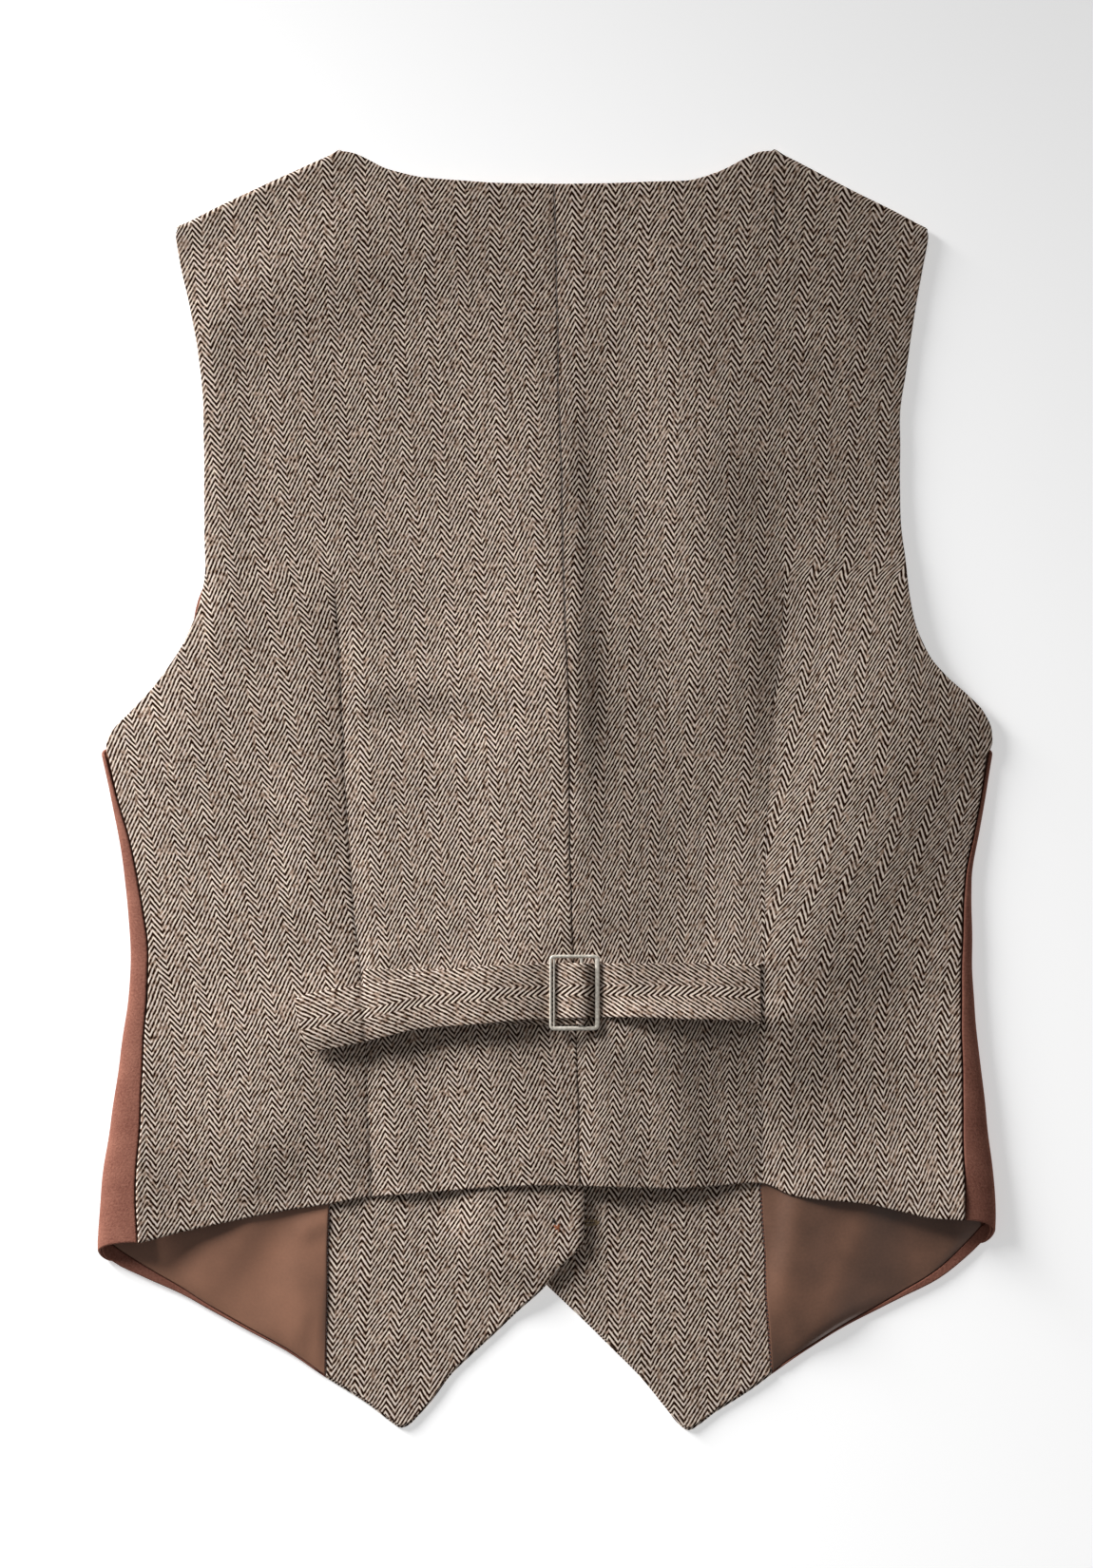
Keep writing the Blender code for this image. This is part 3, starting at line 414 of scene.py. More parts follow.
def edge_roll(side, grid):
    """How far the upper front's pressed edge rolls down over the lower front."""
    if side == "right":
        return 0.0
    near = edge_distance(grid, ("start",))
    far = edge_distance(grid, ("foot",))
    beside = smoothstep((-grid[..., 0] + 2.0) / 8.0)
    at_foot = 0.5 * beside * (1 - smoothstep(far / 4.0)) * smoothstep((near - 2.0) / 6.0)
    return 1 - smoothstep(near / ROLL_WIDTH) + at_foot


def fold_sum(x, y, rows):
    """Height added by a table of ridges and troughs."""
    total = np.zeros(np.broadcast(x, y).shape)
    for x1, y1, x2, y2, width, beyond, height in zip(*rows.values()):
        along = np.array([x2 - x1, y2 - y1])
        length = np.hypot(*along)
        along = along / length
        t = (x - x1) * along[0] + (y - y1) * along[1]
        across = (y - y1) * along[0] - (x - x1) * along[1]
        past = np.maximum(np.maximum(-t, t - length), 0) / (0.8 * (width + beyond))
        spread = np.abs(across) / np.where(across > 0, beyond, width)
        total = total + height * np.exp(-(spread**2.4) - past**2)
    return total


def back_height(x, y):
    """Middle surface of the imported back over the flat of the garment."""
    x, y = np.broadcast_arrays(np.asarray(x, float), np.asarray(y, float))
    height = np.zeros(x.shape)
    for side, sign in SIGN.items():
        out = sign * x
        low = y < UNDERARM_Y
        edge = np.where(low, seam_x[side](y), armhole_x[side](y))
        edge_height = np.where(low, seam_height[side](y), SHOULDER_TOP - 0.4)
        near_underarm = np.exp(-(((y - UNDERARM_Y) / 14.0) ** 2))
        edge_height = np.where(low, edge_height, edge_height - 0.5 * near_underarm)
        inward = np.clip((edge - out) / EDGE_WIDTH, 0, 1)
        profile = edge_height + (plateau(y) - edge_height) * (1 - (1 - inward) ** 2)
        height = np.where(out >= 0, profile, height)
    lines = [(centre_x(y), SEAM_DEPTH, 300.0)]
    lines += [(SIGN[s] * dart_x[s](y), DART_DEPTH, DART_TOP) for s in SIGN]
    for line, depth, top in lines:
        fade = smoothstep((top - y) / 40.0)
        height = height - depth * fade * np.exp(-(((x - line) / DIP_WIDTH) ** 2))
    calm = smoothstep((SHOULDER_CALM[0] - y) / SHOULDER_CALM[1])
    return height + calm * fold_sum(x, y, FOLDS)


# %% [markdown]
# ## Creases, waves and puckers
#
# Wool that has been worn keeps soft, uneven creases. The larger folds are in the table FOLDS,
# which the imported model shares; CREASES adds the smaller ones that pull from the armholes, the
# darts and the strap. `ripple` lays a few long sine waves of different directions over
# everything, so that no stretch of cloth is quite flat, and the cloth puckers a little along each
# seam, where the thread holds it shorter than it is.

# %% Smaller creases and the whole height of the cloth
CREASES = table(
    "x1 y1 x2 y2 width beyond height",
    (-75, 50, -8, 52, 12, 12, 0.8), (122, -96, 198, -106, 14, 10, -1.2),
    (172, 75, 180, 45, 8, 8, 0.6), (-205, 12, -130, -12, 4.5, 4.5, 0.6),
    (-200, 34, -115, -20, 4.5, 4.5, 0.6), (-185, 55, -130, 20, 4.5, 4.5, 0.5),
    (-166, 228, -163, 80, 6, 14, 1.3), (-120, -10, -122, -50, 11, 11, 0.6),
    (-60, 262, -20, 236, 10, 10, 0.4), (96, 262, 140, 240, 9, 9, 0.5),
    (120, 228, 158, 214, 8, 8, 0.4), (-150, -60, -120, -100, 9, 9, 0.5),
    (-60, -130, -52, -190, 10, 10, -0.6), (30, -60, 60, -82, 7, 7, 0.5),
    (-44, -64, -90, -88, 6, 6, 0.5),
    (-136, -209, -78, -202, 20, 24, -2.3),  # the hem sinks between its seams
    (148, -207, 184, -213, 14, 20, 3.2),  # and stands up beside the right fold
    (58, -110, 98, -112, 30, 12, 2.4), (146, -30, 138, -96, 16, 30, 1.3),
    (10, 60, 12, -75, 30, 12, 1.6), (8, 150, 12, 45, 30, 11, 1.5), (101, 50, 103, -100, 38, 13, 1),
    (57, -124, 65, -190, 16, 14, 1.4), (62, -200, 100, -199, 16, 18, -2.2),
    (-118, -128, -165, -205, 40, 26, -0.5), (14, 50, 16, -40, 12, 52, 1.8),
    (48, -113, 66, -115, 40, 8, 2.8), (115, -78, 115, -122, 10, 26, 1.3),
    (-104, -130, -8, -120, 12, 7, -1.3),  # the cloth sinks below the strap
    (38, -122, 94, -122, 55, 7, -2),
)
# How deep each line of stitches is drawn in, and how the cloth gathers beside it.
SEAM_GROOVE = {"left": 0.8, "right": 0.25, "centre": 0.7}
GATHER_LENGTH, GATHER_WIDTH, GATHER_HEIGHT = 7.0, 6.0, 0.13
BUCKLE_CALM = (14.0, -99.0, 24.0)  # the cloth is flat under the buckle: x, y and how far


def ripple(x, y, seed, shortest, longest, height, waves=12):
    """Long low waves of seeded direction, length and phase."""
    dice = np.random.default_rng(seed)
    total = np.zeros(np.broadcast(x, y).shape)
    for _ in range(waves):
        length, angle, phase = dice.uniform((shortest, 0, 0), (longest, np.pi, 2 * np.pi))
        total = total + np.sin(2 * np.pi * (x * np.cos(angle) + y * np.sin(angle)) / length + phase)
    return height * total / np.sqrt(waves)


def pucker(distance, along, seed):
    """Small gathers beside a line of stitches."""
    wobble = 2.0 * np.sin(along / 9.0 + seed) + np.sin(along / 3.7 + 2 * seed)
    gathers = np.sin(along * 2 * np.pi / GATHER_LENGTH + wobble)
    return GATHER_HEIGHT * gathers * np.exp(-((distance / GATHER_WIDTH) ** 2))


def cloth_height(x, y):
    """Middle surface of the dressed back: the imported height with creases, waves and seams."""
    height = back_height(x, y)
    calm = smoothstep((300.0 - y) / 50.0)
    small = fold_sum(x, y, CREASES) + ripple(x, y, 3, 26.0, 80.0, 0.26)
    small = small + ripple(x, y, 8, 11.0, 24.0, 0.05)
    buckle_x, buckle_y, reach = BUCKLE_CALM
    beside_buckle = 1 - np.exp(-(((x - buckle_x) / reach) ** 4) - ((y - buckle_y) / reach) ** 4)
    height = height + small * beside_buckle * calm
    lines = [(centre_x(y), 330.0, SEAM_GROOVE["centre"])]
    lines += [(SIGN[s] * dart_x[s](y), DART_TOP, SEAM_GROOVE[s]) for s in SIGN]
    for seed, (line, top, depth) in enumerate(lines):
        away = x - line
        sewn = smoothstep((top - y) / 25.0)
        groove = np.where(away < 0, 0.3 * np.exp(-((away / 1.1) ** 2)), np.exp(-away / 9.0))
        height = height + sewn * (pucker(away, y, seed) - depth * groove)
    return height


def warp(grid, amount=0.22):
    """The grid with every edge a little uneven, the same for all pieces that meet there."""
    x, y = grid[..., 0], grid[..., 1]
    shift = points(ripple(x, y, 21, 22.0, 70.0, amount), ripple(x, y, 22, 22.0, 70.0, amount))
    moved = grid.copy()
    moved[..., :2] += shift
    return moved


def eased(grid, corner, inward, ease):
    """The grid with its sharp corner rounded off: points near it move in along inward."""
    inward = np.array(inward) / np.hypot(*inward)
    along = np.maximum((grid[..., :2] - np.array(corner)) @ inward, 0.0)
    away = np.linalg.norm(grid[..., :2] - np.array(corner), axis=-1)
    near = smoothstep((26.0 - away) / 14.0)
    moved = grid.copy()
    moved[..., :2] += ((np.hypot(along, ease) - along) * near)[..., None] * inward
    return moved


# %% [markdown]
# ## The run of the cloth
#
# A herringbone shows at once how a panel was cut: its columns run with the grain, and a dart
# swallows a few of them. Each row of the tables below gives, at a height y, where a numbered
# column of the weave lies and how wide the repeat looks there. `grain` turns a place on the
# garment into a place on the flat cloth, in millimetres.

# %% Weave columns of the back
REPEAT = 16.2  # width of one pair of herringbone columns
INNER_GRAIN = pair(
    "y place pitch",
    left=(
        (297.2, -9.2, 16.5), (250.1, -8.5, 16.2), (155.9, -5.4, 15.6), (108.8, -2.1, 15.4),
        (61.7, 1.2, 15.6), (14.6, 4.9, 15.7), (-32.5, 7.3, 15.3), (-79.6, 10.6, 15.1),
        (-126.7, 15.8, 15.7), (-197.3, 24.7, 16.7),
    ),
    right=(
        (297.2, 15.3, 16.7), (250.1, 16.2, 15.9), (155.9, 18.1, 14.8), (108.8, 15.8, 14.9),
        (61.7, 13.4, 14.9), (14.6, 12, 14.6), (-32.5, 11.1, 14), (-79.6, 11.1, 13.9),
        (-126.7, 8.2, 14.1), (-197.3, 4, 14.6),
    ),
)
OUTER_GRAIN = pair(
    "y place pitch",
    left=(
        (108.8, -170.7, 15.5), (61.7, -163.2, 16.2), (14.6, -155.2, 16), (-32.5, -148.1, 15.8),
        (-79.6, -141.1, 16.5), (-126.7, -134, 15.7), (-197.3, -130.7, 15.8),
    ),
    right=(
        (108.8, 175.9, 14.6), (61.7, 169.8, 13.7), (14.6, 165.1, 15.1), (-32.5, 152.4, 15.1),
        (-79.6, 138.2, 16), (-126.7, 133.5, 15.5), (-197.3, 135.4, 15.1),
    ),
)
GRAIN_FOOT = -197.3  # height of the tables' lowest row
OUTER_COLUMN = 11  # number of the column that OUTER_GRAIN follows
STRETCH = {"left": 1.0, "right": 0.93}  # how closely the lines of the twill lie up the panel
DART_STRETCH = {"left": 1.0, "right": 0.85}  # and beside the dart


def grain(side, part, x, y):
    """Cloth coordinates of the back: columns across, y along. The parts join above the dart."""

    def numbered(rows):
        return (x - curve(rows, "y", "place")(y)) / curve(rows, "y", "pitch")(y)

    column = numbered(INNER_GRAIN[side])
    along = y * STRETCH[side]
    if part == "outer":
        below = np.minimum(y - DART_TOP, 0.0)
        along = np.maximum(y, DART_TOP) * STRETCH[side] + below * DART_STRETCH[side]
        own = numbered(OUTER_GRAIN[side]) + SIGN[side] * OUTER_COLUMN
        column = mixed(own, column, smoothstep((y - DART_TOP + 6.0) / 12.0))
    return points(column * REPEAT, along)


# %% [markdown]
# ## Cloth as a closed shell
#
# A panel could be a flat grid with a Solidify modifier, but its cut edges would be square.
# `shell` does what folded and pressed cloth does: the two faces come together in a round edge. It
# takes patches of the middle surface, joins them where they share points, finds how far each
# point is from a free edge, and sets both faces off along the normal by half the wall, less near
# the edge. Each corner keeps its own cloth coordinates in a UV map.

# %% Patches, shells and their flat sizes
FAR = 1e3  # more than any distance to an edge


def patch(grid, cloth, free="foot head start end", turned=False):
    """One grid of a piece: its points, its cloth coordinates and which of its edges are free."""
    return {"grid": grid, "cloth": cloth, "free": free.split(), "turned": turned}


def edge_distance(grid, free):
    """Distance along rows and columns to the nearest free edge of a patch."""
    near = np.full(grid.shape[:2], FAR)
    for axis, names in ((0, ("foot", "head")), (1, ("start", "end"))):
        run = np.cumsum(steps(grid, axis), axis=axis)
        run = np.concatenate([np.zeros_like(np.take(run, [0], axis=axis)), run], axis=axis)
        back = np.take(run, [-1], axis=axis) - run
        for name, distance in zip(names, (run, back)):
            if name in free:
                near = np.minimum(near, distance)
    return np.where(near < 1e-4, 0.0, near)


def placed(name, data):
    """A new object of the scene, at the origin."""
    made = bpy.data.objects.new(name, data)
    bpy.context.scene.collection.objects.link(made)
    return made


def dressed(piece, solid):
    """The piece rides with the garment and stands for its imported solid."""
    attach(piece, "root")
    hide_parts(solid)


AREAS = {}  # flat area of each piece of cloth, in square metres


def shell(name, patches, wall, surface, side=None):
    """A closed piece of cloth with round edges, from patches of its middle surface."""
    sign = -1.0 if side == "left" else 1.0
    spots, near, cloth, quads = [], [], [], []
    count = 0
    for one in patches:
        grid = warp(one["grid"] * np.array([sign, 1.0, 1.0]))
        rows, columns = grid.shape[:2]
        place = count + np.arange(rows * columns).reshape(rows, columns)
        quad = [place[:-1, :-1], place[:-1, 1:], place[1:, 1:], place[1:, :-1]]
        if one["turned"] != (sign < 0):
            quad = quad[::-1]
        quads.append(np.stack(quad, axis=-1).reshape(-1, 4))
        spots.append(grid.reshape(-1, 3))
        near.append(edge_distance(grid, one["free"]).ravel())
        cloth.append(one["cloth"].reshape(-1, 2))
        count += rows * columns
    spots, near, cloth, quads = (np.concatenate(each) for each in (spots, near, cloth, quads))
    _, first, same = np.unique(np.round(spots, 3), axis=0, return_index=True, return_inverse=True)
    same = same.reshape(-1)
    reach = np.full(len(first), FAR)
    np.minimum.at(reach, same, near)
    place, faces = spots[first], same[quads]
    diagonals = [place[faces[:, k + 2]] - place[faces[:, k]] for k in (0, 1)]
    across = np.cross(*diagonals)
    normal = np.zeros_like(place)
    for corner in range(4):
        np.add.at(normal, faces[:, corner], across)
    normal = unit(normal)
    half = wall / 2
    height = half * np.sqrt(1 - (1 - np.minimum(reach / half, 1)) ** 2)
    inside = reach > 0
    under = np.arange(len(place))
    under[inside] = len(place) + np.arange(inside.sum())
    upper = place + normal * height[:, None]
    lower = (place - normal * height[:, None])[inside]
    verts = (np.concatenate([upper, lower]) - CENTRE) * MM
    mesh = bpy.data.meshes.new(name)
    mesh.from_pydata(verts, [], np.concatenate([faces, under[faces][:, ::-1]]).tolist())
    corners = np.concatenate([cloth[quads], cloth[quads][:, ::-1]]).reshape(-1, 2) * MM
    mesh.uv_layers.new(name="cloth").data.foreach_set("uv", corners.ravel().astype(np.float32))
    mesh.materials.append(surface)
    mesh.shade_smooth()
    AREAS[name] = float(np.linalg.norm(across, axis=1).sum() / 2) * MM * MM
    return placed(name, mesh)


def span(grid, axis):
    """Greatest length of the grid along one of its ways, in metres: 0 for columns, 1 for rows."""
    return float(steps(grid, axis).sum(axis=axis).max()) * MM


def cut_size(grid):
    """Width and length of a panel as it is cut, in metres."""
    return span(grid, 1), span(grid, 0)


def declare(piece, solid, flat, turnings=()):
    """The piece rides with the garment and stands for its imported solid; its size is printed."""
    dressed(piece, solid)
    flat = tuple(round(float(each), 4) for each in flat)
    area = AREAS[piece.name] + sum(AREAS[each.name] for each in turnings)
    area = round(min(area, 0.9995 * flat[0] * flat[1]), 6)
    count = len(piece.data.polygons)
    print(f"{piece.name}: {count} faces, cut {flat[0]:.3f} x {flat[1]:.3f} m, {area:.4f} m2")


# %% [markdown]
# ## Materials
#
# Each cloth is drawn in the cloth's own coordinates, so the weave bends with the folds and stops
# at the seams. The helpers below add one node each and give back its output, so that a pattern
# reads like a sum. Shaders stay in the materials; the groups only make colours, masks and
# heights.

# %% Node helpers
def srgb(red, green, blue):
    """A colour given from 0 to 255, as the linear colour that a shader takes."""
    c = np.array([red, green, blue]) / 255
    linear = np.where(c <= 0.04045, c / 12.92, ((c + 0.055) / 1.055) ** 2.4)
    return (*(float(each) for each in linear), 1.0)


def node(tree, kind, inputs=None, out=0, **settings):
    """Add a node with its settings and inputs, which are links or plain values; give an output."""
    made = tree.nodes.new(kind)
    for key, value in settings.items():
        setattr(made, key, value)
    for key, value in (inputs or {}).items():
        if isinstance(value, bpy.types.NodeSocket):
            tree.links.new(value, made.inputs[key])
        else:
            made.inputs[key].default_value = value
    return made.outputs[out]


def maths(tree, operation, *values):
    return node(tree, "ShaderNodeMath", dict(enumerate(values)), operation=operation)


def noise(tree, vector, scale, detail=2.0, roughness=0.5):
    inputs = {"Vector": vector, "Scale": scale, "Detail": detail, "Roughness": roughness}
    return node(tree, "ShaderNodeTexNoise", inputs, out="Fac")


def ranged(tree, value, low, high, new_low=0.0, new_high=1.0):
    """The value with low..high stretched to new_low..new_high, and held there outside it."""
    inputs = {"Value": value, 1: low, 2: high, 3: new_low, 4: new_high}
    return node(tree, "ShaderNodeMapRange", inputs)


def blend_colours(tree, share, a, b, mode="MIX"):
    inputs = {0: share, 6: a, 7: b}
    return node(tree, "ShaderNodeMix", inputs, out=2, data_type="RGBA", blend_type=mode)


def vector_of(tree, x, y, z=0.0):
    return node(tree, "ShaderNodeCombineXYZ", {0: x, 1: y, 2: z})


def pattern_group(name, inputs):
    """An empty node group with named inputs, a colour and a height to give, and its end nodes."""
    tree = bpy.data.node_groups.new(name, "ShaderNodeTree")
    for label, kind, value in inputs:
        socket = tree.interface.new_socket(label, in_out="INPUT", socket_type="NodeSocket" + kind)
        if value is not None:
            socket.default_value = value
    for label, kind in (("Colour", "Color"), ("Height", "Float")):
        tree.interface.new_socket(label, in_out="OUTPUT", socket_type="NodeSocket" + kind)
    use, give = tree.nodes.new("NodeGroupInput"), tree.nodes.new("NodeGroupOutput")
    return tree, use.outputs, give.inputs


# %% [markdown]
# A herringbone is a twill whose diagonal turns back at every column. This one has a narrow column
# whose lines run down to the right and a wide one whose lines run up, and they meet in a point.
# The group works out how far the twill line has climbed at a place, and so which yarn is on top
# there. Streaks break the lines up, as the hairs of a woollen yarn do, and a broad slow noise
# makes patches of warmer and cooler yarn.

# %% Herringbone pattern
def herringbone_pattern():
    inputs = [
        ("Cloth", "Vector", None),
        ("Dark", "Color", srgb(36, 17, 7)),
        ("Brown", "Color", srgb(180, 152, 132)),
        ("Light", "Color", srgb(246, 232, 216)),
        ("Cool", "Color", srgb(220, 205, 200)),
        ("Repeat", "Float", REPEAT * MM),
        ("Narrow share", "Float", 0.29),
        ("Line pitch", "Float", 3.1 * MM),
        ("Narrow slope", "Float", 1.3),
        ("Wide slope", "Float", 1.56),
        ("Relief", "Float", 1.0),
    ]
    tree, use, give = pattern_group("herringbone pattern", inputs)
    split = node(tree, "ShaderNodeSeparateXYZ", {0: use["Cloth"]})
    fuzz = maths(tree, "SUBTRACT", noise(tree, use["Cloth"], 420.0, 1.0), 0.5)
    wander = maths(tree, "SUBTRACT", noise(tree, use["Cloth"], 110.0, 2.0, 0.6), 0.5)
    u = maths(tree, "MULTIPLY_ADD", fuzz, 0.0002, split)
    v = maths(tree, "MULTIPLY_ADD", wander, 0.0022, split.node.outputs[1])
    half = maths(tree, "MULTIPLY", use["Narrow share"], 0.5)
    turn = maths(tree, "ADD", maths(tree, "DIVIDE", u, use["Repeat"]), half)
    within = maths(tree, "FRACT", turn)
    narrow = maths(tree, "MINIMUM", within, use["Narrow share"])
    wide = maths(tree, "MAXIMUM", maths(tree, "SUBTRACT", within, use["Narrow share"]), 0.0)
    down = maths(tree, "MULTIPLY", narrow, use["Narrow slope"])
    up = maths(tree, "MULTIPLY", wide, use["Wide slope"])
    climb = maths(tree, "SUBTRACT", up, down)
    wide_share = maths(tree, "SUBTRACT", 1.0, use["Narrow share"])
    whole_up = maths(tree, "MULTIPLY", wide_share, use["Wide slope"])
    whole_down = maths(tree, "MULTIPLY", use["Narrow share"], use["Narrow slope"])
    whole = maths(tree, "SUBTRACT", whole_up, whole_down)
    climb = maths(tree, "MULTIPLY_ADD", maths(tree, "FLOOR", turn), whole, climb)
    climb = maths(tree, "MULTIPLY", climb, use["Repeat"])
    phase = maths(tree, "DIVIDE", maths(tree, "SUBTRACT", v, climb), use["Line pitch"])
    wave = maths(tree, "COSINE", maths(tree, "MULTIPLY", phase, 2 * np.pi))
    line = ranged(tree, wave, -0.35, 0.8)
    streak = noise(tree, vector_of(tree, maths(tree, "MULTIPLY", u, 420.0), phase), 1.0, 1.0)
    hair = noise(tree, use["Cloth"], 520.0, 1.0)
    broken = ranged(tree, streak, 0.3, 0.62)
    crisp = ranged(tree, noise(tree, use["Cloth"], 150.0, 3.0, 0.6), 0.36, 0.5, 0.55, 1.0)
    in_narrow = maths(tree, "LESS_THAN", within, use["Narrow share"])
    strength = maths(tree, "MULTIPLY", maths(tree, "MULTIPLY_ADD", in_narrow, 0.25, 1.08), crisp)
    line_shown = maths(tree, "MULTIPLY_ADD", maths(tree, "SUBTRACT", line, 0.42), strength, 0.42)
    shown = maths(tree, "MULTIPLY", line_shown, ranged(tree, streak, 0.3, 0.55, 0.55, 1.15))
    grainy = ranged(tree, hair, 0.3, 0.7, -0.3, 0.3)
    shown = maths(tree, "ADD", shown, grainy)
    shown = ranged(tree, shown, 0.0, 1.0)
    patchy = ranged(tree, noise(tree, use["Cloth"], 260.0, 3.0), 0.4, 0.6)
    yarn = blend_colours(tree, maths(tree, "MULTIPLY", patchy, 0.55), use["Light"], use["Cool"])
    colour = blend_colours(tree, ranged(tree, shown, 0.0, 0.5), use["Dark"], use["Brown"])
    colour = blend_colours(tree, ranged(tree, shown, 0.5, 1.0), colour, yarn)
    shade = ranged(tree, noise(tree, use["Cloth"], 60.0, 4.0, 0.65), 0.3, 0.7, 0.92, 1.06)
    colour = blend_colours(tree, 1.0, colour, vector_of(tree, shade, shade, shade), "MULTIPLY")
    tree.links.new(colour, give["Colour"])
    rise = maths(tree, "MULTIPLY_ADD", broken, 0.35, maths(tree, "MULTIPLY", line, 0.65))
    tree.links.new(maths(tree, "MULTIPLY", rise, use["Relief"]), give["Height"])
    return tree


# %% [markdown]
# The side fronts and the turned-up hems are a plain brushed wool: no weave shows, only a short
# nap with clouds of lighter and darker hair. The lining is a satin, smooth and softly shiny, with
# painted light and shade in its colour: the left lining, which faces the lamp, is painted lighter
# and the right one, in the shade of the back, is painted darker.

# %% Plain wool and satin patterns
def wool_pattern():
    inputs = [
        ("Cloth", "Vector", None),
        ("Deep", "Color", srgb(112, 67, 57)),
        ("Worn", "Color", srgb(163, 112, 95)),
    ]
    tree, use, give = pattern_group("brushed wool pattern", inputs)
    nap = noise(tree, use["Cloth"], 900.0, 4.0, 0.7)
    cloud = noise(tree, use["Cloth"], 70.0, 3.0)
    share = maths(tree, "MULTIPLY_ADD", nap, 1.9, maths(tree, "MULTIPLY_ADD", cloud, 0.8, -0.85))
    share = ranged(tree, share, 0.0, 1.0)
    tree.links.new(blend_colours(tree, share, use["Deep"], use["Worn"]), give["Colour"])
    tree.links.new(nap, give["Height"])
    return tree


def satin_pattern():
    inputs = [
        ("Cloth", "Vector", None),
        ("Deep", "Color", srgb(104, 75, 60)),
        ("Bright", "Color", srgb(166, 119, 95)),
        ("Painted light side", "Float", -0.11),
        ("Painted shade side", "Float", 0.12),
    ]
    tree, use, give = pattern_group("satin pattern", inputs)
    split = node(tree, "ShaderNodeSeparateXYZ", {0: use["Cloth"]})
    # Painted light and shade: the colour is lighter on the left lining and darker on the right one.
    painted_light_share = ranged(tree, split, use["Painted light side"], use["Painted shade side"], 0.68, 0.18)
    soft = ranged(tree, noise(tree, use["Cloth"], 34.0, 2.0), 0.3, 0.7, -0.2, 0.2)
    thread = noise(tree, use["Cloth"], 700.0, 2.0)
    share = maths(tree, "ADD", painted_light_share, soft)
    share = maths(tree, "ADD", share, ranged(tree, thread, 0.3, 0.7, -0.05, 0.05))
    tree.links.new(blend_colours(tree, share, use["Deep"], use["Bright"]), give["Colour"])
    tree.links.new(thread, give["Height"])
    return tree


# %% [markdown]
# A cloth's shader is rough and has a soft sheen at its edges from the loose hairs. The sheen, the
# gloss of the satin and the metal of the buckle are constant numbers on the shader's own sockets.

# %% Make the materials
def new_material(name, constants):
    """A material with constant numbers on its shader's sockets. Gives its shader too."""
    made = bpy.data.materials.new(name)
    made.use_nodes = True
    shader = made.node_tree.nodes["Principled BSDF"]
    for key, value in constants.items():
        shader.inputs[key].default_value = value
    return made, shader


def cloth_material(name, pattern, constants, relief):
    """A material that draws a pattern group in the cloth's coordinates. relief is in mm."""
    made, shader = new_material(name, constants)
    tree = made.node_tree
    cloth = node(tree, "ShaderNodeUVMap", uv_map="cloth")
    drawn = tree.nodes.new("ShaderNodeGroup")
    drawn.node_tree = pattern
    tree.links.new(cloth, drawn.inputs["Cloth"])
    tree.links.new(drawn.outputs["Colour"], shader.inputs["Base Color"])
    bump = {"Height": drawn.outputs["Height"], "Strength": 1.0, "Distance": relief * MM}
    tree.links.new(node(tree, "ShaderNodeBump", bump), shader.inputs["Normal"])
    return made


def object_material(name, deep, pale, scale, relief, constants):
    """A material for a hard piece: two colours mixed by a noise in the piece's own space."""
    made, shader = new_material(name, constants)
    tree = made.node_tree
    place = node(tree, "ShaderNodeTexCoord", out="Object")
    stretched = node(tree, "ShaderNodeMapping", {0: place, "Scale": scale})
    mottle = noise(tree, stretched, 1.0, 4.0, 0.6)
    mixture = blend_colours(tree, ranged(tree, mottle, 0.35, 0.65), srgb(*deep), srgb(*pale))
    tree.links.new(mixture, shader.inputs["Base Color"])
    rough = constants["Roughness"]
    worn = ranged(tree, mottle, 0.3, 0.7, rough - 0.08, rough + 0.1)
    tree.links.new(worn, shader.inputs["Roughness"])
    bump = {"Height": noise(tree, stretched, 3.0, 3.0), "Strength": 1.0, "Distance": relief * MM}
    tree.links.new(node(tree, "ShaderNodeBump", bump), shader.inputs["Normal"])
    return made


WOOLLEN = {
    "Roughness": 0.92,
    "Sheen Weight": 0.04,
    "Sheen Roughness": 0.5,
    "Sheen Tint": srgb(200, 150, 120),
    "Specular IOR Level": 0.06,
}
GLOSSY = {"Roughness": 0.36, "Specular IOR Level": 0.7}
TWEED_CLOTH = cloth_material("herringbone_tweed", herringbone_pattern(), WOOLLEN, 0.08)
PLAIN_WOOL = cloth_material("plain_wool", wool_pattern(), WOOLLEN, 0.3)
SATIN = cloth_material("satin_lining", satin_pattern(), GLOSSY, 0.04)

METAL = {"Metallic": 0.2, "Roughness": 0.4}
POLISHED = {"Roughness": 0.35, "Specular IOR Level": 0.5, "Coat Weight": 0.1}
MATT = {"Roughness": 0.85, "Sheen Weight": 0.2}
FIBRES = (4000.0, 4000.0, 4000.0)
HARD = (  # name, deep and pale colour, how fine the mottling is along each axis, relief, shader
    ("pewter", (206, 198, 184), (250, 243, 230), (700.0, 700.0, 700.0), 0.03, METAL),
    ("brown_horn", (44, 28, 20), (92, 60, 38), (500.0, 160.0, 500.0), 0.02, POLISHED),
    ("dark_thread", (36, 28, 24), (62, 46, 38), FIBRES, 0.03, MATT),
    ("rust_thread", (150, 82, 44), (186, 110, 66), FIBRES, 0.03, MATT),
    ("brown_thread", (112, 62, 48), (146, 92, 72), FIBRES, 0.03, MATT),
    ("tan_thread", (122, 100, 68), (164, 138, 98), FIBRES, 0.03, MATT),
)
PEWTER, HORN, DARK_THREAD, RUST_THREAD, BROWN_THREAD, TAN_THREAD = (
    object_material(*row) for row in HARD
)
print("materials:", ", ".join(sorted(m.name for m in bpy.data.materials)))

# %% [markdown]
# ## The back
#
# Each half of the back is cut as one panel with a dart. It is sewn to its twin down the middle,
# and rolls over the shoulder to meet the front underneath. The panel here is three patches:
# one from the armhole to the dart, one from the dart to the middle, and the roll. Rows lie close
# together at the hem, at the underarm and at the neck, and columns at each seam, where the cloth
# turns.

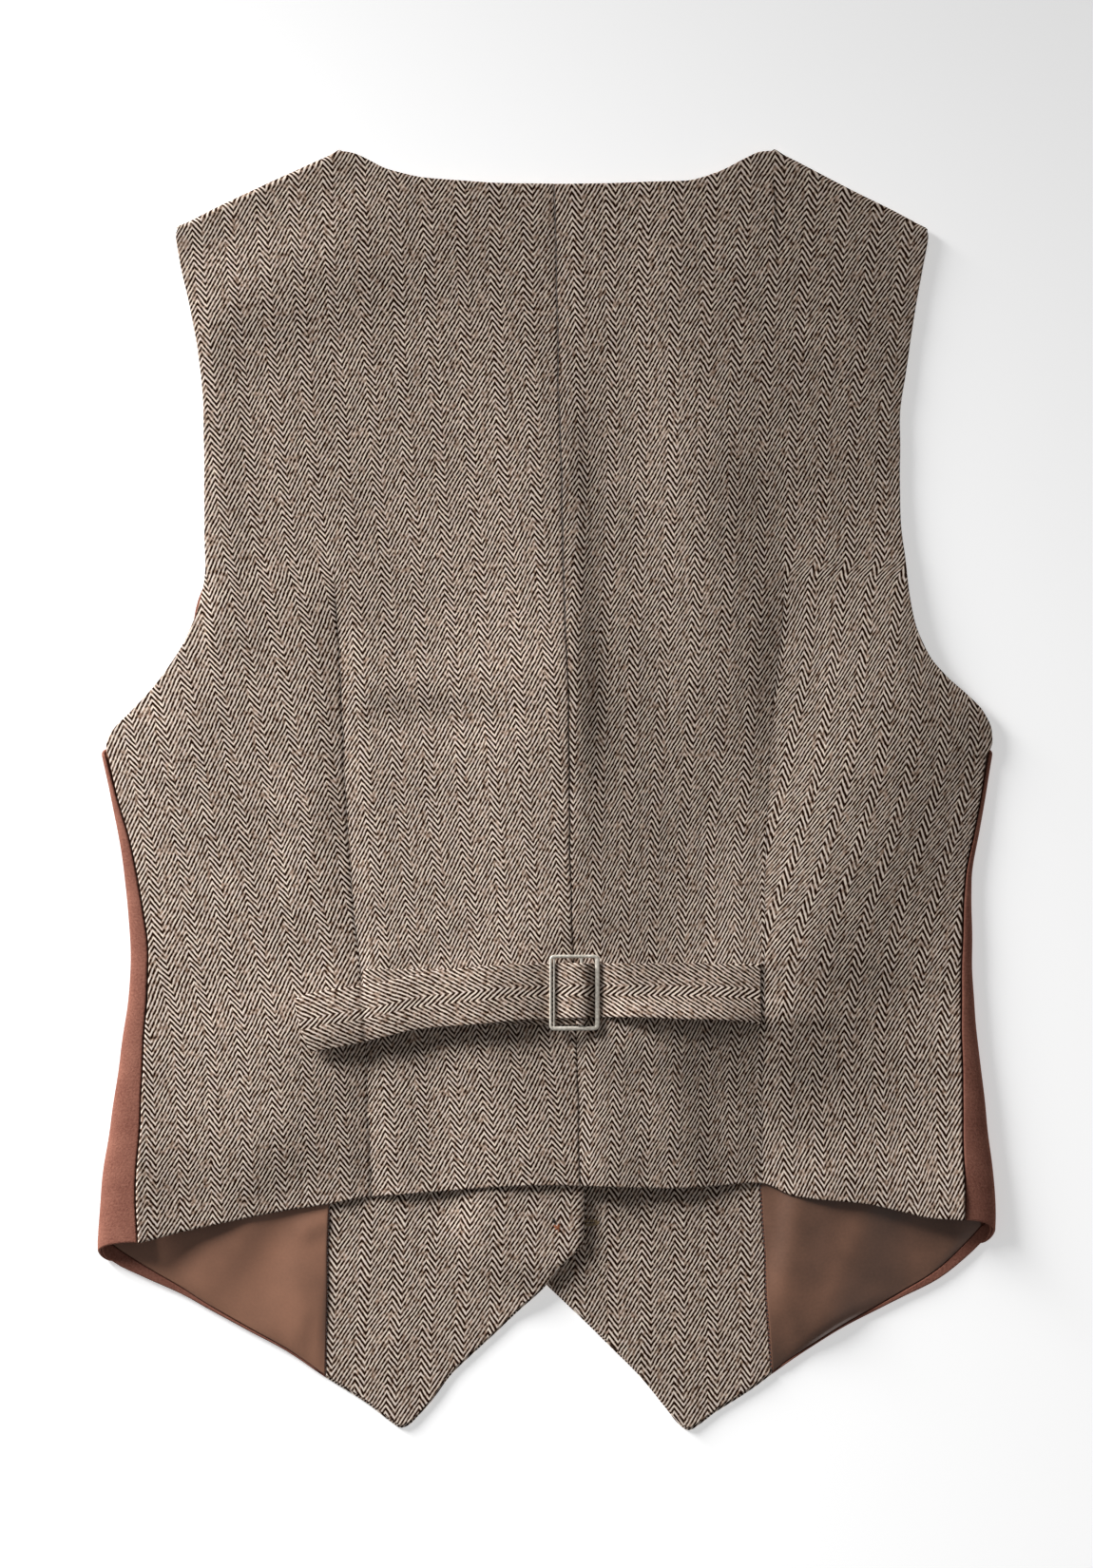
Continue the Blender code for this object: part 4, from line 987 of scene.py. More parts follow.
# %% Lines and rows of a panel
FINE = 2.3  # spacing of the mesh in mm on what shows from above
COARSE = 3.6  # and on what lies underneath
OUTER_WIDTH, INNER_WIDTH = 90.0, 100.0  # of a back panel beside and inside its dart, about
ROWS = ROWS_LOW + ROWS_HIGH
ROW_GROWTH = 1.5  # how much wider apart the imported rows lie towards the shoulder
BACK_TOP = 300.0  # height of the uppermost row, about
SHOULDER_SHARE = 0.93  # from here up, the back levels out to its shoulder seam
ROLL_END, ROLL_END_LENGTH = 0.15, 7.0  # how thick the roll is at its ends, and over what length


def lifted(grid, height):
    return np.concatenate([grid, np.broadcast_to(height, grid.shape[:2])[..., None]], axis=-1)


def pinned(line, share, first, last, reach=0.06):
    """The line with its two ends moved onto given points, fading out over a part of it."""
    near = smoothstep(1 - share / reach)[:, None]
    far = smoothstep(1 - (1 - share) / reach)[:, None]
    return line + near * (np.array(first) - line[0]) + far * (np.array(last) - line[-1])


def shoulder_line(side, inset):
    """The ends of a shoulder seam, drawn in from the outline by inset, and its way out."""
    neck = np.array(NECK_POINT[side])
    tip = np.array(SHOULDER_TIP[side])
    along = (tip - neck) / np.hypot(*(tip - neck))
    out = np.array([-along[1], along[0]])
    if out[1] < 0:
        out = -out
    return neck - out * inset, tip - out * inset - along * 0.6, out


def row_height(row, foot, top):
    """Height up the garment of a row: even below the underarm, then wider and wider."""
    low = mixed(foot, UNDERARM_Y, row / ROWS_LOW)
    share = np.maximum(row - ROWS_LOW, 0) / ROWS_HIGH
    return np.where(row <= ROWS_LOW, low, mixed(UNDERARM_Y, top, share**ROW_GROWTH))


def back_stations():
    """Rows of the back panel, close together at the hem, the underarm and the shoulder."""
    foot = SIDE["left"]["y"][0]
    low = stations(UNDERARM_Y - foot, FINE, EDGE_STEPS, CREASE_STEPS) * ROWS_LOW
    share = stations(BACK_TOP - UNDERARM_Y, FINE, CREASE_STEPS, EDGE_STEPS)
    return np.concatenate([low, ROWS_LOW + ROWS_HIGH * share[1:] ** (1 / ROW_GROWTH)])


# %% [markdown]
# Each patch is filled in between its four edges and then raised to the height of the cloth. The
# roll turns through half a circle, and is thinner at its two ends. The corners at the neck and at
# the shoulder tip are rounded off, since a turned corner is never sharp.

# %% The two back panels
def back_panel(side):
    sign = SIGN[side]
    roll = (SHOULDER_TOP - FRONT_MID) / 2
    _, _, out = shoulder_line(side, 0.0)
    u = stations(OUTER_WIDTH, FINE, EDGE_STEPS, CREASE_STEPS)
    corners = np.array([NECK_POINT[side], SHOULDER_TIP[side]])
    length = np.hypot(*(corners[1] - corners[0]))
    from_end = np.minimum(u, 1 - u) * length
    puff = mixed(ROLL_END, 1.0, smoothstep(from_end / ROLL_END_LENGTH))[:, None]
    shoulder = corners[0] + (corners[1] - corners[0]) * (1 - u)[:, None]
    shoulder = shoulder - out * (roll + TWEED / 2) * puff
    neck, tip = shoulder[-1], shoulder[0]
    row = back_stations()
    v = row / ROWS
    y = row_height(row, SIDE[side]["y"][0], tip[1])
    seam, hole = seam_x[side](UNDERARM_Y) - SEAM_EASE, armhole_x[side](UNDERARM_Y)
    corner = seam - 2 * SEAM_EASE  # the underarm, where both lines are led to
    below = seam_x[side](y) - SEAM_EASE + (corner - seam) * np.clip(row - ROWS_LOW + 1, 0, 1)
    above = armhole_x[side](y) + (corner - hole) * np.clip(ROWS_LOW - row + 1, 0, 1)
    x = np.where(row <= ROWS_LOW, below, above)
    outer = pinned(points(x, y), v, (x[0], y[0]), tip, 0.04)
    y = row_height(row, hem_y(sign * DART[side]["x"][0]), neck[1])
    dart = pinned(points(dart_x[side](y), y), v, (dart_x[side](y[0]), y[0]), neck, 0.04)
    foot, top = CENTRE_SEAM["y"][0], CENTRE_SEAM["y"][-1]
    y = row_height(row, hem_y(centre_x(foot)), neck_y(centre_x(top)))
    middle = points(sign * centre_x(y) + SEAM_GAP / 2, y)
    x = mixed(outer[0, 0], dart[0, 0], u)
    bottom = pinned(points(x, hem_y(sign * x)), u, outer[0], dart[0])
    side_part = coons(bottom, shoulder, outer, dart, u, v)
    w = stations(INNER_WIDTH, FINE, CREASE_STEPS, EDGE_STEPS)
    x = mixed(dart[0, 0], middle[0, 0], w)
    bottom = pinned(points(x, hem_y(sign * x)), w, dart[0], middle[0])
    x = mixed(neck[0], middle[-1, 0], w**1.2)
    neckline = pinned(points(x, neck_y(sign * x)), w, neck, middle[-1], 0.15)
    middle_part = coons(bottom, neckline, dart, middle, w, v)
    made = []
    for part, grid in (("outer", side_part), ("inner", middle_part)):
        cloth = grain(side, part, sign * grid[..., 0], grid[..., 1])
        height = cloth_height(sign * grid[..., 0], grid[..., 1])
        if part == "outer":
            level = smoothstep((v[:, None] - SHOULDER_SHARE) / (1 - SHOULDER_SHARE))
        else:
            reach = np.hypot(grid[..., 0] - neck[0], grid[..., 1] - neck[1])
            level = smoothstep(1 - reach / 18.0)
        height = mixed(height, SHOULDER_TOP, level)
        made.append((lifted(grid, height), cloth))
    turns = np.radians(np.linspace(0, 180, 15))
    reach = np.array([out[0], out[1], 0.0])
    edge = made[0][0][-1]
    arcs = [reach * np.sin(a) - [0, 0, 1 - np.cos(a)] for a in turns]
    rolled = np.array([edge + puff * roll * arc for arc in arcs])
    rolled_cloth = np.array([made[0][1][-1] + [0, roll * a] for a in turns])
    patches = [
        patch(made[0][0], made[0][1], "foot start"),
        patch(made[1][0], made[1][1], "foot head end"),
        patch(rolled, rolled_cloth, "head start end"),
    ]
    for one in patches:
        one["grid"] = eased(one["grid"], neck, (0.0, -1.0), 0.8)
        one["grid"] = eased(one["grid"], tip, (-0.89, -0.46), 1.9)
    piece = shell(f"dressed_back_{side}", patches, TWEED, TWEED_CLOTH, side)
    parts = np.array([cut_size(grid) for grid, _ in made])
    size = (parts[:, 0].sum(), parts[:, 1].max() + span(rolled, 0))
    declare(piece, f"back_{side}", size)


for side in SIGN:
    back_panel(side)

# %% [markdown]
# ## The side fronts
#
# A side front lies flat under the garment, rolls up round the side fold and is sewn to the back.
# Its hem is turned up inside, and a satin lining lies on its flat part. The lining keeps soft
# upright creases, because it is cut a little wider than the wool.

# %% Middle surface of a side front
SIDE_LENGTH, SIDE_WIDTH = 300.0, 90.0  # of the flat part, about
FOLD_SHARE = 0.48  # how far up the roll its outermost line lies


def side_section(side, y, bend):
    """A point of the side front where it rolls round the fold: bend 0 flat, 1 fold, 2 seam."""
    out = fold_x[side](y) - TWEED / 2
    top = seam_height[side](y)
    middle = FRONT_MID + (top - FRONT_MID) * FOLD_SHARE
    radius = middle - FRONT_MID
    under = np.clip(bend, 0, 1) * np.pi / 2
    over = np.clip(bend - 1, 0, 1) * np.pi / 2
    inward = out - (seam_x[side](y) + SEAM_EASE)
    x = out - radius * (1 - np.sin(under)) - inward * (1 - np.cos(over))
    z = middle - radius * np.cos(under) + (top - middle) * np.sin(over)
    return x, z


def front_armhole(side, y):
    """The front's armhole lies just inside the back's, but peeks out low on the left."""
    peek = ARMHOLE_PEEK[side] * np.exp(-(((y - PEEK_Y) / 14.0) ** 2))
    return armhole_x[side](y) - ARMHOLE_INSET + peek


def side_grid(side, v, u, bends):
    """The side front's middle surface, flat under the garment and then round the fold."""
    front_y = mixed(front_hem_y[side](PRINCESS[side][0]), PRINCESS_TOP, v)
    fold_y = mixed(front_hem_y[side](fold_x[side](-230.0) - 6.0), UNDERARM_Y + 3.0, v)
    seam_y = mixed(SIDE[side]["y"][0], UNDERARM_Y, v)
    inner = points(princess_x[side](front_y) + SEAM_GAP / 2, front_y)
    start = points(side_section(side, fold_y, 0.0)[0], fold_y)
    x = mixed(inner[0, 0], start[0, 0], u)
    bottom = pinned(points(x, front_hem_y[side](x)), u, inner[0], start[0])
    y = mixed(PRINCESS_TOP, fold_y[-1], u)
    top = pinned(points(front_armhole(side, y), y), u, inner[-1], start[-1])
    flat = lifted(coons(bottom, top, inner, start, u, v), FRONT_MID)
    y = fold_y[:, None] + (seam_y - fold_y)[:, None] * smoothstep(bends / 2)[None]
    x, z = side_section(side, y, bends[None])
    return np.concatenate([flat, np.stack([x, y, z], axis=-1)], axis=1)


def inner_layer(grid, distance):
    """The grid moved in towards the wearer, along its own normals."""
    normal = unit(np.cross(np.gradient(grid, axis=1), np.gradient(grid, axis=0)))
    return grid + normal * np.asarray(distance)[..., None]


# %% [markdown]
# The lining has more width than the wool it lines. The slack rises in upright folds between the
# side front and the back over it, and is pressed flat where there is no room. Its folds are in a
# table like those of the back.

# %% Folds of the linings
LINING_SEED = {"left": 31, "right": 37}
# Soft folds of each lining, with x as the distance from the middle.
LINING_FOLDS = pair(
    "x1 y1 x2 y2 width beyond height",
    left=(
        (109, -222, 113, -272, 3, 30, 1.1), (110.5, -214, 118, -217, 3.5, 3, 1),
        (152, -216, 172, -246, 12, 12, 1.6), (120, -262, 121, -286, 1.4, 2.2, 0.7),
        (124.8, -266, 125.8, -286, 1.2, 2.6, 0.5),
    ),
    right=(
        (125, -212, 121, -236, 9, 34, 3.8), (119, -240, 124, -264, 6, 18, 1.4),
        (160, -216, 142, -258, 10, 18, 1.5),
    ),
)


def lining_creases(side, grid, spacing):
    """Soft folds and slack of the satin, between where it lies flat and the back over it."""
    x, y = grid[..., 0], grid[..., 1]
    loose = ripple(x, 0.4 * y, LINING_SEED[side], 22.0, 60.0, 0.5)
    slack = smoothstep((60.0 - y) / 120.0) * smoothstep((x - x.min()) / 3.5)
    slack = slack * smoothstep((x.max() - x) / 16.0)
    slack = slack * smoothstep(edge_distance(grid, ("foot",)) / 5.0 + 0.25)
    rise = slack * np.maximum(loose + 0.3 + fold_sum(x, y, LINING_FOLDS[side]), 0.0)
    out = SIGN[side] * x
    roof = cloth_height(out, y) - TWEED / 2 - GAP - FRONT_MID - spacing - LINING / 2
    roof = np.maximum(roof, 0.0) + 9.0 * smoothstep((hem_y(out) + 1.0 - y) / 9.0)
    return np.minimum(rise, roof)


# %% [markdown]
# Each side front is one shell in the plain wool. Its turned-up hem is a strip inside it, which
# widens towards the fold, and the lining starts just above that strip.

# %% The side fronts, their turned-up hems and linings
def side_front(side):
    sign = SIGN[side]
    v = stations(SIDE_LENGTH, COARSE)
    u = stations(SIDE_WIDTH, COARSE, EDGE_STEPS, CREASE_STEPS[:1])
    bends = np.concatenate([np.linspace(0, 1.8, 17)[1:], 1 + stations(14.0, 1.2)[-9:]])
    bends = np.unique(np.clip(bends, 0, 2))
    grid = side_grid(side, v, u, bends)
    across = np.cumsum(np.pad(steps(grid, 1), ((0, 0), (1, 0))), axis=1)
    cloth = points(across, grid[..., 1])
    piece = shell(f"dressed_side_front_{side}", [patch(grid, cloth)], TWEED, PLAIN_WOOL, side)

    # The hem, turned up inside.
    spacing = (TWEED + LINING) / 2 + GAP
    depth = hem_depth(grid[0, :, 0])[:, None]
    rise = unit(grid[1] - grid[0])
    shares = stations(8.0, 1.2)
    strip = np.array([grid[0] + rise * (0.5 + share * depth) for share in shares])
    strip = inner_layer(strip, np.full(strip.shape[:2], spacing))[:, 6:-4]  # short of both seams
    cloth = points(strip[..., 0], strip[..., 1])
    hem = shell(f"dressed_hem_{side}", [patch(strip, cloth)], LINING, PLAIN_WOOL, side)
    dressed(hem, f"hem_facing_{side}")
    size = (span(grid, 1), span(grid, 0) + span(strip, 0))
    declare(piece, f"side_front_{side}", size, [hem])

    # The lining, from above the hem up to the armhole.
    u = stations(SIDE_WIDTH, FINE)
    flat = side_grid(side, v, u, np.array([0.02]))[:, :-1]
    above = 0.5 + hem_depth(flat[0, :, 0]) + 2 * GAP
    length = steps(flat, 0).sum(axis=0)
    low = above / length
    rows = low + (1 - low - 2.0 / length) * v[:, None]
    satin = np.empty_like(flat)
    for i in range(flat.shape[1]):
        for axis in range(3):
            satin[:, i, axis] = np.interp(rows[:, i], v, flat[:, i, axis])
    satin = satin[:, 2:-2]  # short of the seam and of the fold
    satin = inner_layer(satin, spacing + lining_creases(side, satin, spacing))
    cloth = points(sign * satin[..., 0], satin[..., 1])
    lining = shell(f"dressed_lining_{side}", [patch(satin, cloth)], LINING, SATIN, side)
    declare(lining, f"lining_{side}", cut_size(satin))


for side in SIGN:
    side_front(side)

# %% [markdown]
# ## The fronts
#
# The fronts lie face down under the back, buttoned over each other. Below the back's hem their
# insides show: the facing, cut from the same tweed, comes down to the points, and a thin line of
# the wool shows where it is turned.

# %% The tweed fronts and their facings
LAST_COLUMN = len(FRONT_HEM_COLUMNS) - 1
hem_column = curve({"number": range(LAST_COLUMN + 1), "x": FRONT_HEM_COLUMNS}, "number", "x")
FACING_GRAIN = {"left": (-103.4, 0.0555, 16.25), "right": (33.2, 0.0, 16.4)}  # place, lean, pitch
FACING_STRETCH = 0.94  # how closely the lines of its twill lie
FRONT_WIDTH, FRONT_LENGTH = 170.0, 560.0  # about


def front_grid(side, u, v):
    """Middle surface of a tweed front: point at the hem, button stand, V and shoulder strap."""
    sign = SIGN[side]
    roll = (SHOULDER_TOP - FRONT_MID) / 2
    neck, tip, _ = shoulder_line(side, roll + TWEED / 2 + GAP)
    row = v * (PRINCESS_ROWS + STRAP_ROWS)
    low = mixed(front_hem_y[side](PRINCESS[side][0]), PRINCESS_TOP, row / PRINCESS_ROWS)
    high = mixed(PRINCESS_TOP, tip[1], (row - PRINCESS_ROWS) / STRAP_ROWS)
    y = np.where(row <= PRINCESS_ROWS, low, high)
    x = np.where(row <= PRINCESS_ROWS, princess_x[side](y) - SEAM_GAP / 2, front_armhole(side, y))
    outer = pinned(points(x, y), v, (x[0], y[0]), tip + (neck - tip) * 0.03, 0.05)
    y = mixed(FRONT_HEM[side]["y"][0], neck[1] - 3.0, v)
    top = neck + (tip - neck) * 0.04
    edge = pinned(points(-front_edge(y), y), v, (-FRONT_EDGE_X, y[0]), top, 0.05)
    column = u * (LAST_COLUMN + 1)
    last = mixed(FRONT_HEM_COLUMNS[-1], outer[0, 0], column - LAST_COLUMN)
    x = np.where(column <= LAST_COLUMN, hem_column(column), last)
    bottom = pinned(points(x, front_hem_y[side](x)), u, edge[0], outer[0], 0.04)
    top = edge[-1] + (outer[-1] - edge[-1]) * u[:, None]
    flat = coons(bottom, top, edge, outer, u, v)
    height = front_height(side, sign * flat[..., 0], flat[..., 1])
    return lifted(flat, np.maximum(height - edge_roll(side, flat), FRONT_MID))


def resampled(grid, rows, columns):
    """The grid's surface at other places: rows and columns are fractions of its own index."""
    j, i = rows * (grid.shape[0] - 1), columns * (grid.shape[1] - 1)
    a = np.minimum(j.astype(int), grid.shape[0] - 2)
    b = np.minimum(i.astype(int), grid.shape[1] - 2)
    s, t = (j - a)[:, None, None], (i - b)[None, :, None]
    low = mixed(grid[a][:, b], grid[a][:, b + 1], t)
    high = mixed(grid[a + 1][:, b], grid[a + 1][:, b + 1], t)
    return mixed(low, high, s)


def front_panel(side):
    sign = SIGN[side]
    u, v = stations(FRONT_WIDTH, COARSE), stations(FRONT_LENGTH, COARSE)
    grid = front_grid(side, u, v)
    cloth = points(sign * grid[..., 0], grid[..., 1])
    front = shell(f"dressed_front_{side}", [patch(grid, cloth)], TWEED, TWEED_CLOTH, side)
    declare(front, f"front_{side}", cut_size(grid))

    # The facing, on the inside and drawn back a little from the front's own edge.
    inner = front_grid(side, np.linspace(0.0, 1.0, 240), np.linspace(0.0, 1.0, 700))
    across = steps(inner, 1).sum(axis=1).mean()
    along = steps(inner, 0).sum(axis=0).mean()
    u = mixed(1.4 / across, 1 - 0.3 / across, stations(FRONT_WIDTH, FINE))
    v = mixed(1.5 / along, 1 - 6.0 / along, stations(FRONT_LENGTH, FINE))
    grid = resampled(inner, v, u)
    x, y = sign * grid[..., 0], grid[..., 1]
    bumps = 0.25 * np.maximum(ripple(x, y, 41, 16.0, 60.0, 0.8), 0.0)
    bumps = bumps * smoothstep((-190.0 - y) / 10.0)  # only where it shows
    grid = inner_layer(grid, (TWEED + LINING) / 2 + GAP + bumps)
    place, lean, pitch = FACING_GRAIN[side]
    cloth = points((x - place - lean * (y - GRAIN_FOOT)) * REPEAT / pitch, FACING_STRETCH * y)
    facing = shell(f"dressed_facing_{side}", [patch(grid, cloth)], LINING, TWEED_CLOTH, side)
    declare(facing, f"facing_{side}", cut_size(grid))


for side in SIGN:
    front_panel(side)

# %% [markdown]
# ## The back strap and its buckle
#
# The strap is sewn double. The long half comes out of the right dart, rises over the buckle's
# middle bar and lies on the short half with its free tail, which stands off a little and throws a
# shadow. The short half comes out of the left dart, runs under the tail and is looped round the
# bar.

# %% The two halves of the strap
def perch_height():
    """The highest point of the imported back's middle surface under the buckle."""
    x, y = np.meshgrid(np.linspace(-6.0, 34.0, 9), np.linspace(BUCKLE["bottom"], BUCKLE["top"], 9))
    return float(np.max(back_height(x, y)))


LEVEL_REACH, LEVEL_FADE = 62.0, 44.0


def strap_base(x, y):
    """What a strap lies on: the back, levelled out where the buckle bridges it."""
    away = abs(x - (BUCKLE["left"] + BUCKLE["right"]) / 2)
    level = smoothstep((LEVEL_REACH - away) / LEVEL_FADE)
    cloth = cloth_height(x, y)
    return np.maximum(cloth * (1 - level) + perch_height() * level, cloth - 0.3)


def buckle_height(x):
    """Middle of the buckle, which leans up towards the tail it holds down."""
    share = (BUCKLE["right"] - x) / (BUCKLE["right"] - BUCKLE["left"])
    return perch_height() + TWEED / 2 + BUCKLE_LOW + BUCKLE_LEAN * share


def strap_cloth(grid):
    """A strap is cut across the grain, with a column of the weave along its middle."""
    middle = (grid[:, :1, 1] + grid[:, -1:, 1]) / 2
    return points(middle - grid[..., 1], grid[..., 0])


def finish_strap(half, grid, wall):
    patches = [patch(grid, strap_cloth(grid), turned=True)]
    strap = shell(f"dressed_strap_{half}", patches, wall, TWEED_CLOTH)
    declare(strap, f"strap_{half}", cut_size(grid))


def long_strap():
    rows = LONG_STRAP
    first, last = rows["x"][0], rows["x"][-1]
    top, bottom, lift = (curve(rows, "x", key) for key in ("top", "bottom", "lift"))
    gape = curve(STRAP_GAPE, "x", "gape")
    along = mixed(first, last, stations(first - last, 1.1))
    share = stations(27.0, 1.4)
    grid = np.zeros((len(along), len(share), 3))
    for k, x in enumerate(along):
        y = top(x) + (bottom(x) - top(x)) * share
        across = x - STRAP_TAIL_SKEW * smoothstep((-85 - x) / 36) * (0.5 - share)
        base = strap_base(across, y)
        soft = 0.12 * np.sin(x / 6.5 + 2.0 * share) * smoothstep((-8.0 - x) / 20.0)
        stand = TWEED / 2 + lift(x) + STRAP / 2 + soft + gape(x) * share
        grid[k] = points(across, y, base + stand)
    for corner in (grid[-1, 0, :2], grid[-1, -1, :2]):
        inward = grid[-40, len(share) // 2, :2] - corner
        grid = eased(grid, corner, inward, TAIL_ROUNDING)
    finish_strap("long", grid, STRAP)


def short_strap():
    share = stations(SHORT_TOP - SHORT_BOTTOM, 1.6)
    y = SHORT_TOP + (SHORT_BOTTOM - SHORT_TOP) * share
    bar_z = buckle_height(BUCKLE_MIDDLE_X)
    over = TWEED / 2 + GAP + SHORT_STRAP / 2
    run = np.linspace(SHORT_START, SHORT_FLAT, 70)
    rows = [points(x, y, strap_base(x, y) + over) for x in run]
    flat_z = rows[-1][:, 2]
    for t in np.linspace(0, 1, 9)[1:]:
        x = mixed(SHORT_FLAT, BUCKLE_MIDDLE_X, t)
        rows.append(points(x, y, mixed(flat_z, bar_z - LOOP_RADIUS, smoothstep(t))))
    for angle in np.radians(np.linspace(-90, 90, 17)[1:]):  # half round the bar
        x = BUCKLE_MIDDLE_X + LOOP_RADIUS * np.cos(angle)
        rows.append(points(x, y, bar_z + LOOP_RADIUS * np.sin(angle)))
    for t in EDGE_STEPS[::-1]:
        rows.append(points(BUCKLE_MIDDLE_X - LOOP_TUCK + t, y, bar_z + LOOP_RADIUS))
    finish_strap("short", np.array(rows), SHORT_STRAP)


long_strap()
short_strap()

# %% [markdown]
# The buckle is a slide, cast in one piece and plated: a frame whose left side is split in two
# thin bars, a flat right bar, and a bar across the middle that the short strap is looped round.
# Each bar is a rounded section swept along its middle line, and the whole slide leans up a little
# towards the tail that it holds.

# %% The buckle
def swept(path, width, thick, closed=False, sides=12, power=3.0):
    """Points and faces of a rounded bar along a path, with its width kept level."""
    path = np.array(path, float)
    width = np.broadcast_to(width, len(path))[:, None, None]
    if closed:
        ahead = np.roll(path, -1, axis=0) - np.roll(path, 1, axis=0)
    else:
        ahead = np.gradient(path, axis=0)
    ahead = unit(ahead)
    aside = unit(np.cross(ahead, [0.0, 0.0, 1.0]))
    upward = np.cross(aside, ahead)
    angle = np.arange(sides) * 2 * np.pi / sides + np.pi / sides
    c, s = np.cos(angle), np.sin(angle)
    size = (np.abs(c) ** power + np.abs(s) ** power) ** (-1 / power)
    ring = width / 2 * (c * size)[None, :, None] * aside[:, None]
    ring = ring + thick / 2 * (s * size)[None, :, None] * upward[:, None]
    verts = (path[:, None] + ring).reshape(-1, 3)
    count = len(path)
    faces = []
    for j in range(count if closed else count - 1):
        a, b = j * sides, (j + 1) % count * sides
        faces += [(a + i, b + i, b + (i + 1) % sides, a + (i + 1) % sides) for i in range(sides)]
    if not closed:
        faces.append(tuple(range(sides)))
        faces.append(tuple(reversed([(count - 1) * sides + i for i in range(sides)])))
    return verts, faces


def from_bmesh(name, bm, *surfaces):
    """A new object of the scene that holds what a bmesh holds, which is then freed."""
    mesh = bpy.data.meshes.new(name)
    bm.to_mesh(mesh)
    bm.free()
    for surface in surfaces:
        mesh.materials.append(surface)
    return placed(name, mesh)


def joined(name, parts, surface):
    """One piece from several swept bars, with its normals outwards."""
    bm = bmesh.new()
    for verts, faces in parts:
        made = [bm.verts.new((v - CENTRE) * MM) for v in verts]
        for face in faces:
            bm.faces.new([made[i] for i in face])
    bmesh.ops.recalc_face_normals(bm, faces=bm.faces)
    made = from_bmesh(name, bm, surface)
    made.data.shade_smooth()
    made.data.set_sharp_from_angle(angle=np.radians(50))
    return made


def buckle():
    left, right, top, bottom = (BUCKLE[key] for key in ("left", "right", "top", "bottom"))
    bar = {"left": 1.2, "right": 2.3, "top": 1.6, "bottom": 2.0}  # widths of the frame's sides
    x0, x1 = left + bar["left"] / 2, right - bar["right"] / 2
    y0, y1 = bottom + bar["bottom"] / 2, top - bar["top"] / 2
    bend = 1.7  # radius of its corners
    x, y, width = [], [], []
    corners = (
        (x1 - bend, y0 + bend, -90, "bottom", "right"),
        (x1 - bend, y1 - bend, 0, "right", "top"),
        (x0 + bend, y1 - bend, 90, "top", "left"),
        (x0 + bend, y0 + bend, 180, "left", "bottom"),
    )
    for corner_x, corner_y, start, before, after in corners:
        t = np.linspace(0, 1, 9)
        angle = np.radians(start + 90 * t)
        x.extend(corner_x + bend * np.cos(angle))
        y.extend(corner_y + bend * np.sin(angle))
        width.extend(mixed(bar[before], bar[after], smoothstep(t)))
    x = np.array(x)
    path = points(x, y, buckle_height(x))
    parts = [swept(path, width, 1.8, closed=True, sides=20, power=2.8)]
    y = np.linspace(y0, y1, 24)
    for x, wide, drop in ((left + 2.3, 0.95, 0.1), (BUCKLE_MIDDLE_X, 1.5, 0.0)):
        parts.append(swept(points(x, y, buckle_height(x) - drop), wide, 1.2))
    piece = joined("dressed_buckle", parts, PEWTER)
    dressed(piece, "buckle")
    print("buckle:", len(piece.data.polygons), "faces")


buckle()

# %% [markdown]
# ## The buttons
#
# Five plain four-hole buttons fasten the fronts. They lie under the garment, dished face down,
# each sewn on with a cross of thread. A button is turned: its profile is spun round, and its
# holes are drilled.

# %% Turned buttons with their thread
BUTTON_PROFILE = (  # from the middle of the dished face round the rim to the back
    (0.0, 0.62), (4.6, 0.62), (5.4, 0.5), (5.9, 0.16), (6.3, 0.03), (6.8, 0.0), (7.2, 0.1),
    (7.45, 0.45), (7.5, 0.9), (7.4, 1.4), (7.1, 1.8), (6.6, 2.0), (0.0, BUTTON_THICK),
)
HOLE_REACH, HOLE_RADIUS = 2.0, 0.8  # from the middle, and of each hole
THREAD_REACH, THREAD_THICK, THREAD_DEEP = 1.4, 0.36, 1.4


def applied(made):
    """The object's modifiers taken off, and what they made kept as its mesh."""
    graph = bpy.context.evaluated_depsgraph_get()
    final = bpy.data.meshes.new_from_object(made.evaluated_get(graph))
    made.modifiers.clear()
    made.data = final
    return final


def in_order(mesh):
    """Its points and faces put in a fixed order, because a boolean's order varies by run."""
    spots = np.array([vert.co for vert in mesh.vertices])
    order = np.lexsort(spots.T)
    rank = np.argsort(order)
    faces = []
    for face in mesh.polygons:
        ring = [int(rank[i]) for i in face.vertices]
        first = ring.index(min(ring))
        faces.append(ring[first:] + ring[:first])
    mesh.clear_geometry()
    mesh.from_pydata(spots[order].tolist(), [], sorted(faces))


def turned_button(name):
    bm = bmesh.new()
    ring = [bm.verts.new((r * MM, 0, z * MM)) for r, z in BUTTON_PROFILE]
    edges = [bm.edges.new(pair) for pair in zip(ring, ring[1:])]
    whole = {"cent": (0, 0, 0), "axis": (0, 0, 1), "dvec": (0, 0, 0), "angle": 2 * np.pi}
    bmesh.ops.spin(bm, geom=ring + edges, steps=64, **whole)
    bmesh.ops.remove_doubles(bm, verts=bm.verts, dist=1e-6)
    bmesh.ops.recalc_face_normals(bm, faces=bm.faces)
    piece = from_bmesh(name, bm, HORN)
    holes = bmesh.new()
    drill = {"radius1": HOLE_RADIUS * MM, "radius2": HOLE_RADIUS * MM, "depth": 8 * MM}
    for angle in np.radians((45, 135, 225, 315)):
        made = bmesh.ops.create_cone(holes, cap_ends=True, segments=16, **drill)
        at = HOLE_REACH * MM * np.array([np.cos(angle), np.sin(angle), 0.0])
        bmesh.ops.translate(holes, vec=at, verts=made["verts"])
    cutter = from_bmesh("drill", holes)
    drilled = piece.modifiers.new("Holes", "BOOLEAN")
    drilled.operation = "DIFFERENCE"
    drilled.object = cutter
    in_order(applied(piece))
    bpy.data.objects.remove(cutter, do_unlink=True)
    return piece


